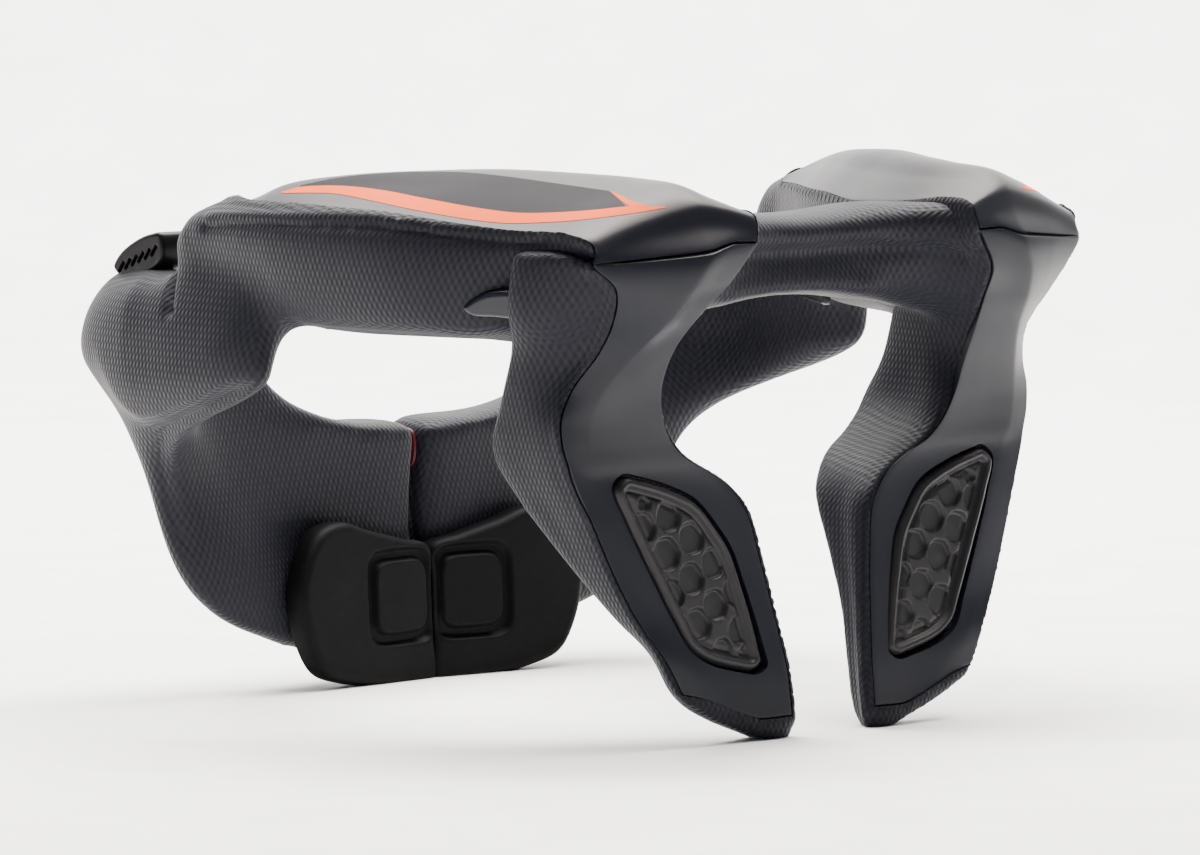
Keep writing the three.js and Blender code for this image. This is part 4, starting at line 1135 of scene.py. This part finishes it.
class BRACE_OT_top_skins(BraceOperator, bpy.types.Operator):
    """Build the hard skins on the wings' tops"""

    bl_idname = "brace.top_skins"
    bl_label = "Top skins"

    def execute(self, context):
        sizes = context.scene.brace_sizes
        inside = place(*WING_INSIDE)
        skin = sheet_of("shell_right", top_grid(), inside, 0, sizes.skin / MM)
        round_edges(skin, sizes.skin_round)
        pair_of(skin, 40, "Top_skin", ["top_skin"])
        return {"FINISHED"}


class BRACE_OT_back_skins(BraceOperator, bpy.types.Operator):
    """Build the hard skins on the legs' backs"""

    bl_idname = "brace.back_skins"
    bl_label = "Back skins"

    def execute(self, context):
        sizes = context.scene.brace_sizes
        grid = back_grid()
        skin = sheet_of("panel_right", grid, grid + place(*LEG_INWARD), 0, sizes.skin / MM)
        round_edges(skin, sizes.skin_round)
        cut(skin, comb_well(WELL_IN_SKIN))
        pair_of(skin, 40, "Back_skin", ["back_skin"])
        return {"FINISHED"}


class BRACE_OT_back_pads(BraceOperator, bpy.types.Operator):
    """Build the honeycomb pads in the back skins"""

    bl_idname = "brace.back_pads"
    bl_label = "Honeycomb pads"

    def execute(self, context):
        pad = slab("comb_right", COMB_LOCAL, comb_height, COMB_BACK, COMB_FRAME)
        pair_of(pad, 50, "Comb_rubber", ["back_pad"])
        return {"FINISHED"}


class BRACE_OT_chest_pads(BraceOperator, bpy.types.Operator):
    """Build the soft pads low on the chest plate"""

    bl_idname = "brace.chest_pads"
    bl_label = "Chest pads"

    def execute(self, context):
        at = place(0.9, 84.6, 0.2) + (-1.35, 2.5, 0)
        to_frame = framed(at, turn=-0.1, rise=math.pi / 2 - 0.05)
        pad = slab("chest_right", CHEST_OUTLINE, chest_height, 0.0, to_frame)
        cut(pad, floor_block())
        pair_of(pad, 50, "Chest_foam", ["chest_pad"])
        return {"FINISHED"}


class BRACE_OT_latch(BraceOperator, bpy.types.Operator):
    """Build the slotted latch at the left wing's nose"""

    bl_idname = "brace.latch"
    bl_label = "Front latch"

    def execute(self, context):
        outline = [place(0, y, z)[1:] for y, z in LATCH_OUTLINE]
        def to_frame(points):
            forward, up, out = points.T
            return np.column_stack([out + LATCH_FACE - LATCH_DEPTH, forward, up])
        right = slab("latch", outline, latch_height, 0.0, to_frame, around=260, rings=60)
        latch = mirror_of(right, "latch_left")
        bpy.data.objects.remove(right)
        finished(latch, 45, "Latch_plastic", ["front_latch"])
        return {"FINISHED"}


class BRACE_OT_trim(BraceOperator, bpy.types.Operator):
    """Build the side caps, the inner strips and the closure tab"""

    bl_idname = "brace.trim"
    bl_label = "Caps, strips and tab"

    def execute(self, context):
        at = framed(place(83.0, 19.8, 78.4), turn=1.14, rise=math.pi / 2 + 0.28)
        cap = slab("cap_right", CAP_OUTLINE, rounded(4.0, 2.4), 0.0, at, around=120, rings=28)
        at = framed(place(71.5, 50.2, 72.0), turn=-2.1, rise=math.pi / 2)
        strip = slab("strip_right", STRIP_OUTLINE, rounded(3.0, 1.6), 0.0, at, around=120, rings=20)
        pair_of(cap, 50, "Cap_plastic", ["side_cap"])
        pair_of(strip, 50, "Latch_plastic", ["inner_strip"])
        def across(points):
            forward, up, out = points.T
            _, y, z = place(0, 89.5, 42.6)
            return np.column_stack([out, forward + y, up + z])
        tab = slab("tab", TAB_OUTLINE, rounded(0.7, 0.3), -0.7, across, around=80, rings=10)
        finished(tab, 50, "Tab_plastic", ["closure_tab"])
        return {"FINISHED"}


class BRACE_OT_stripes(BraceOperator, bpy.types.Operator):
    """Build the stripes printed on the top skins"""

    bl_idname = "brace.stripes"
    bl_label = "Stripes"

    def execute(self, context):
        for name in PRINTS:
            left = decal(name, bpy.data.objects["shell_left"])
            look = "Patch_print" if name == "patch" else "Stripe_print"
            pair_of(left, 60, look, [])
        return {"FINISHED"}


class BRACE_OT_studio(BraceOperator, bpy.types.Operator):
    """Build the floor, backdrop, lights and camera"""

    bl_idname = "brace.studio"
    bl_label = "Studio"

    def execute(self, context):
        scene = context.scene
        right, up, back, eye = camera_axes()
        heading = np.array([-back[0], -back[1], 0.0]) / math.hypot(back[0], back[1])
        # Floor, quarter bend and upright of the backdrop, in metres ahead and up
        quarter = np.linspace(0, math.pi / 2, 24)[1:]
        bend = [(-3.0, 0.0), (1.2, 0.0)]
        bend += [(1.2 + math.sin(a), 1 - math.cos(a)) for a in quarter]
        bend.append((2.2, 4.0))
        rows = []
        for along, rise in bend:
            for side in (-4.0, 4.0):
                point = heading * along + right * side + (0, 0, rise - 0.0003)
                rows.append(point / MM + (0, FOOTPRINT_MIDDLE, 0))
        sweep = mesh_object("backdrop", rows, grid_faces(len(bend), 2))
        colour = scene.brace_colours.floor
        sweep.data.materials.append(grained("Studio_paper", colour, 0.85, 0.02, 300.0, 0.00001))
        shaded(sweep, 60)

        def area(name, at, aim, size, power, tint):
            light = bpy.data.lights.new(name, "AREA")
            light.shape, light.size, light.size_y = "RECTANGLE", size[0], size[1]
            light.energy, light.color = power, tint
            lamp = bpy.data.objects.new(name, light)
            lamp.location = at
            lamp.rotation_euler = (Vector(aim) - Vector(at)).to_track_quat("-Z", "Y").to_euler()
            scene.collection.objects.link(lamp)

        def spot(along, side, rise):
            return tuple(heading * along + right * side + (0, 0, rise))

        brace, wall = (0, 0, 0.1), spot(2.2, 0, 0.9)
        area("Overhead", spot(0.35, 0.0, 1.7), brace, (2.2, 1.6), 150, (1.0, 0.95, 0.895))
        area("Backdrop_light", spot(0.7, 0.0, 2.6), wall, (3.0, 0.8), 330, (1.0, 0.98, 0.96))
        area("Left_fill", spot(-1.2, -1.8, 0.9), brace, (1.2, 1.2), 3, (0.94, 0.97, 1.0))
        world = bpy.data.worlds.new("Studio")
        world.use_nodes = True
        sky = world.node_tree.nodes["Background"].inputs
        sky["Color"].default_value = (1, 1, 1, 1)
        sky["Strength"].default_value = 0.11
        scene.world = world

        lens = bpy.data.cameras.new("Camera")
        lens.lens, lens.sensor_width, lens.sensor_fit = CAMERA_LENS, CAMERA_SENSOR, "HORIZONTAL"
        lens.clip_start, lens.clip_end = 0.05, 60
        camera = bpy.data.objects.new("Camera", lens)
        rotation = Matrix(np.column_stack([right, up, back]).tolist()).to_4x4()
        camera.matrix_world = Matrix.Translation(Vector(eye * MM)) @ rotation
        scene.collection.objects.link(camera)
        scene.camera = camera
        return {"FINISHED"}


class BRACE_PT_panel(bpy.types.Panel):
    """Lists the brace's pieces in the sidebar"""

    bl_idname = "BRACE_PT_panel"
    bl_label = "Neck brace"
    bl_space_type = "VIEW_3D"
    bl_region_type = "UI"
    bl_category = "Neck brace"

    def draw(self, context):
        for group in (context.scene.brace_sizes, context.scene.brace_colours):
            column = self.layout.column(align=True)
            for name in group.__annotations__:
                column.prop(group, name)
        column = self.layout.column(align=True)
        for step in STEPS:
            column.operator(step.bl_idname)


STEPS = (
    BRACE_OT_rear_cover,
    BRACE_OT_side_covers,
    BRACE_OT_top_skins,
    BRACE_OT_back_skins,
    BRACE_OT_back_pads,
    BRACE_OT_chest_pads,
    BRACE_OT_latch,
    BRACE_OT_trim,
    BRACE_OT_stripes,
    BRACE_OT_studio,
)


def register():
    """Registers the classes and the scene's settings."""
    for cls in (BraceSizes, BraceColours, *STEPS, BRACE_PT_panel):
        bpy.utils.register_class(cls)
    bpy.types.Scene.brace_sizes = PointerProperty(type=BraceSizes)
    bpy.types.Scene.brace_colours = PointerProperty(type=BraceColours)


def unregister():
    """Takes the settings and classes back out."""
    del bpy.types.Scene.brace_colours
    del bpy.types.Scene.brace_sizes
    for cls in (BRACE_PT_panel, *reversed(STEPS), BraceColours, BraceSizes):
        bpy.utils.unregister_class(cls)


def main():
    """Builds the brace and its studio."""
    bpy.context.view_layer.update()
    register()
    for step in STEPS:
        group, name = step.bl_idname.split(".")
        getattr(getattr(bpy.ops, group), name)()


if __name__ == "__main__":
    main()
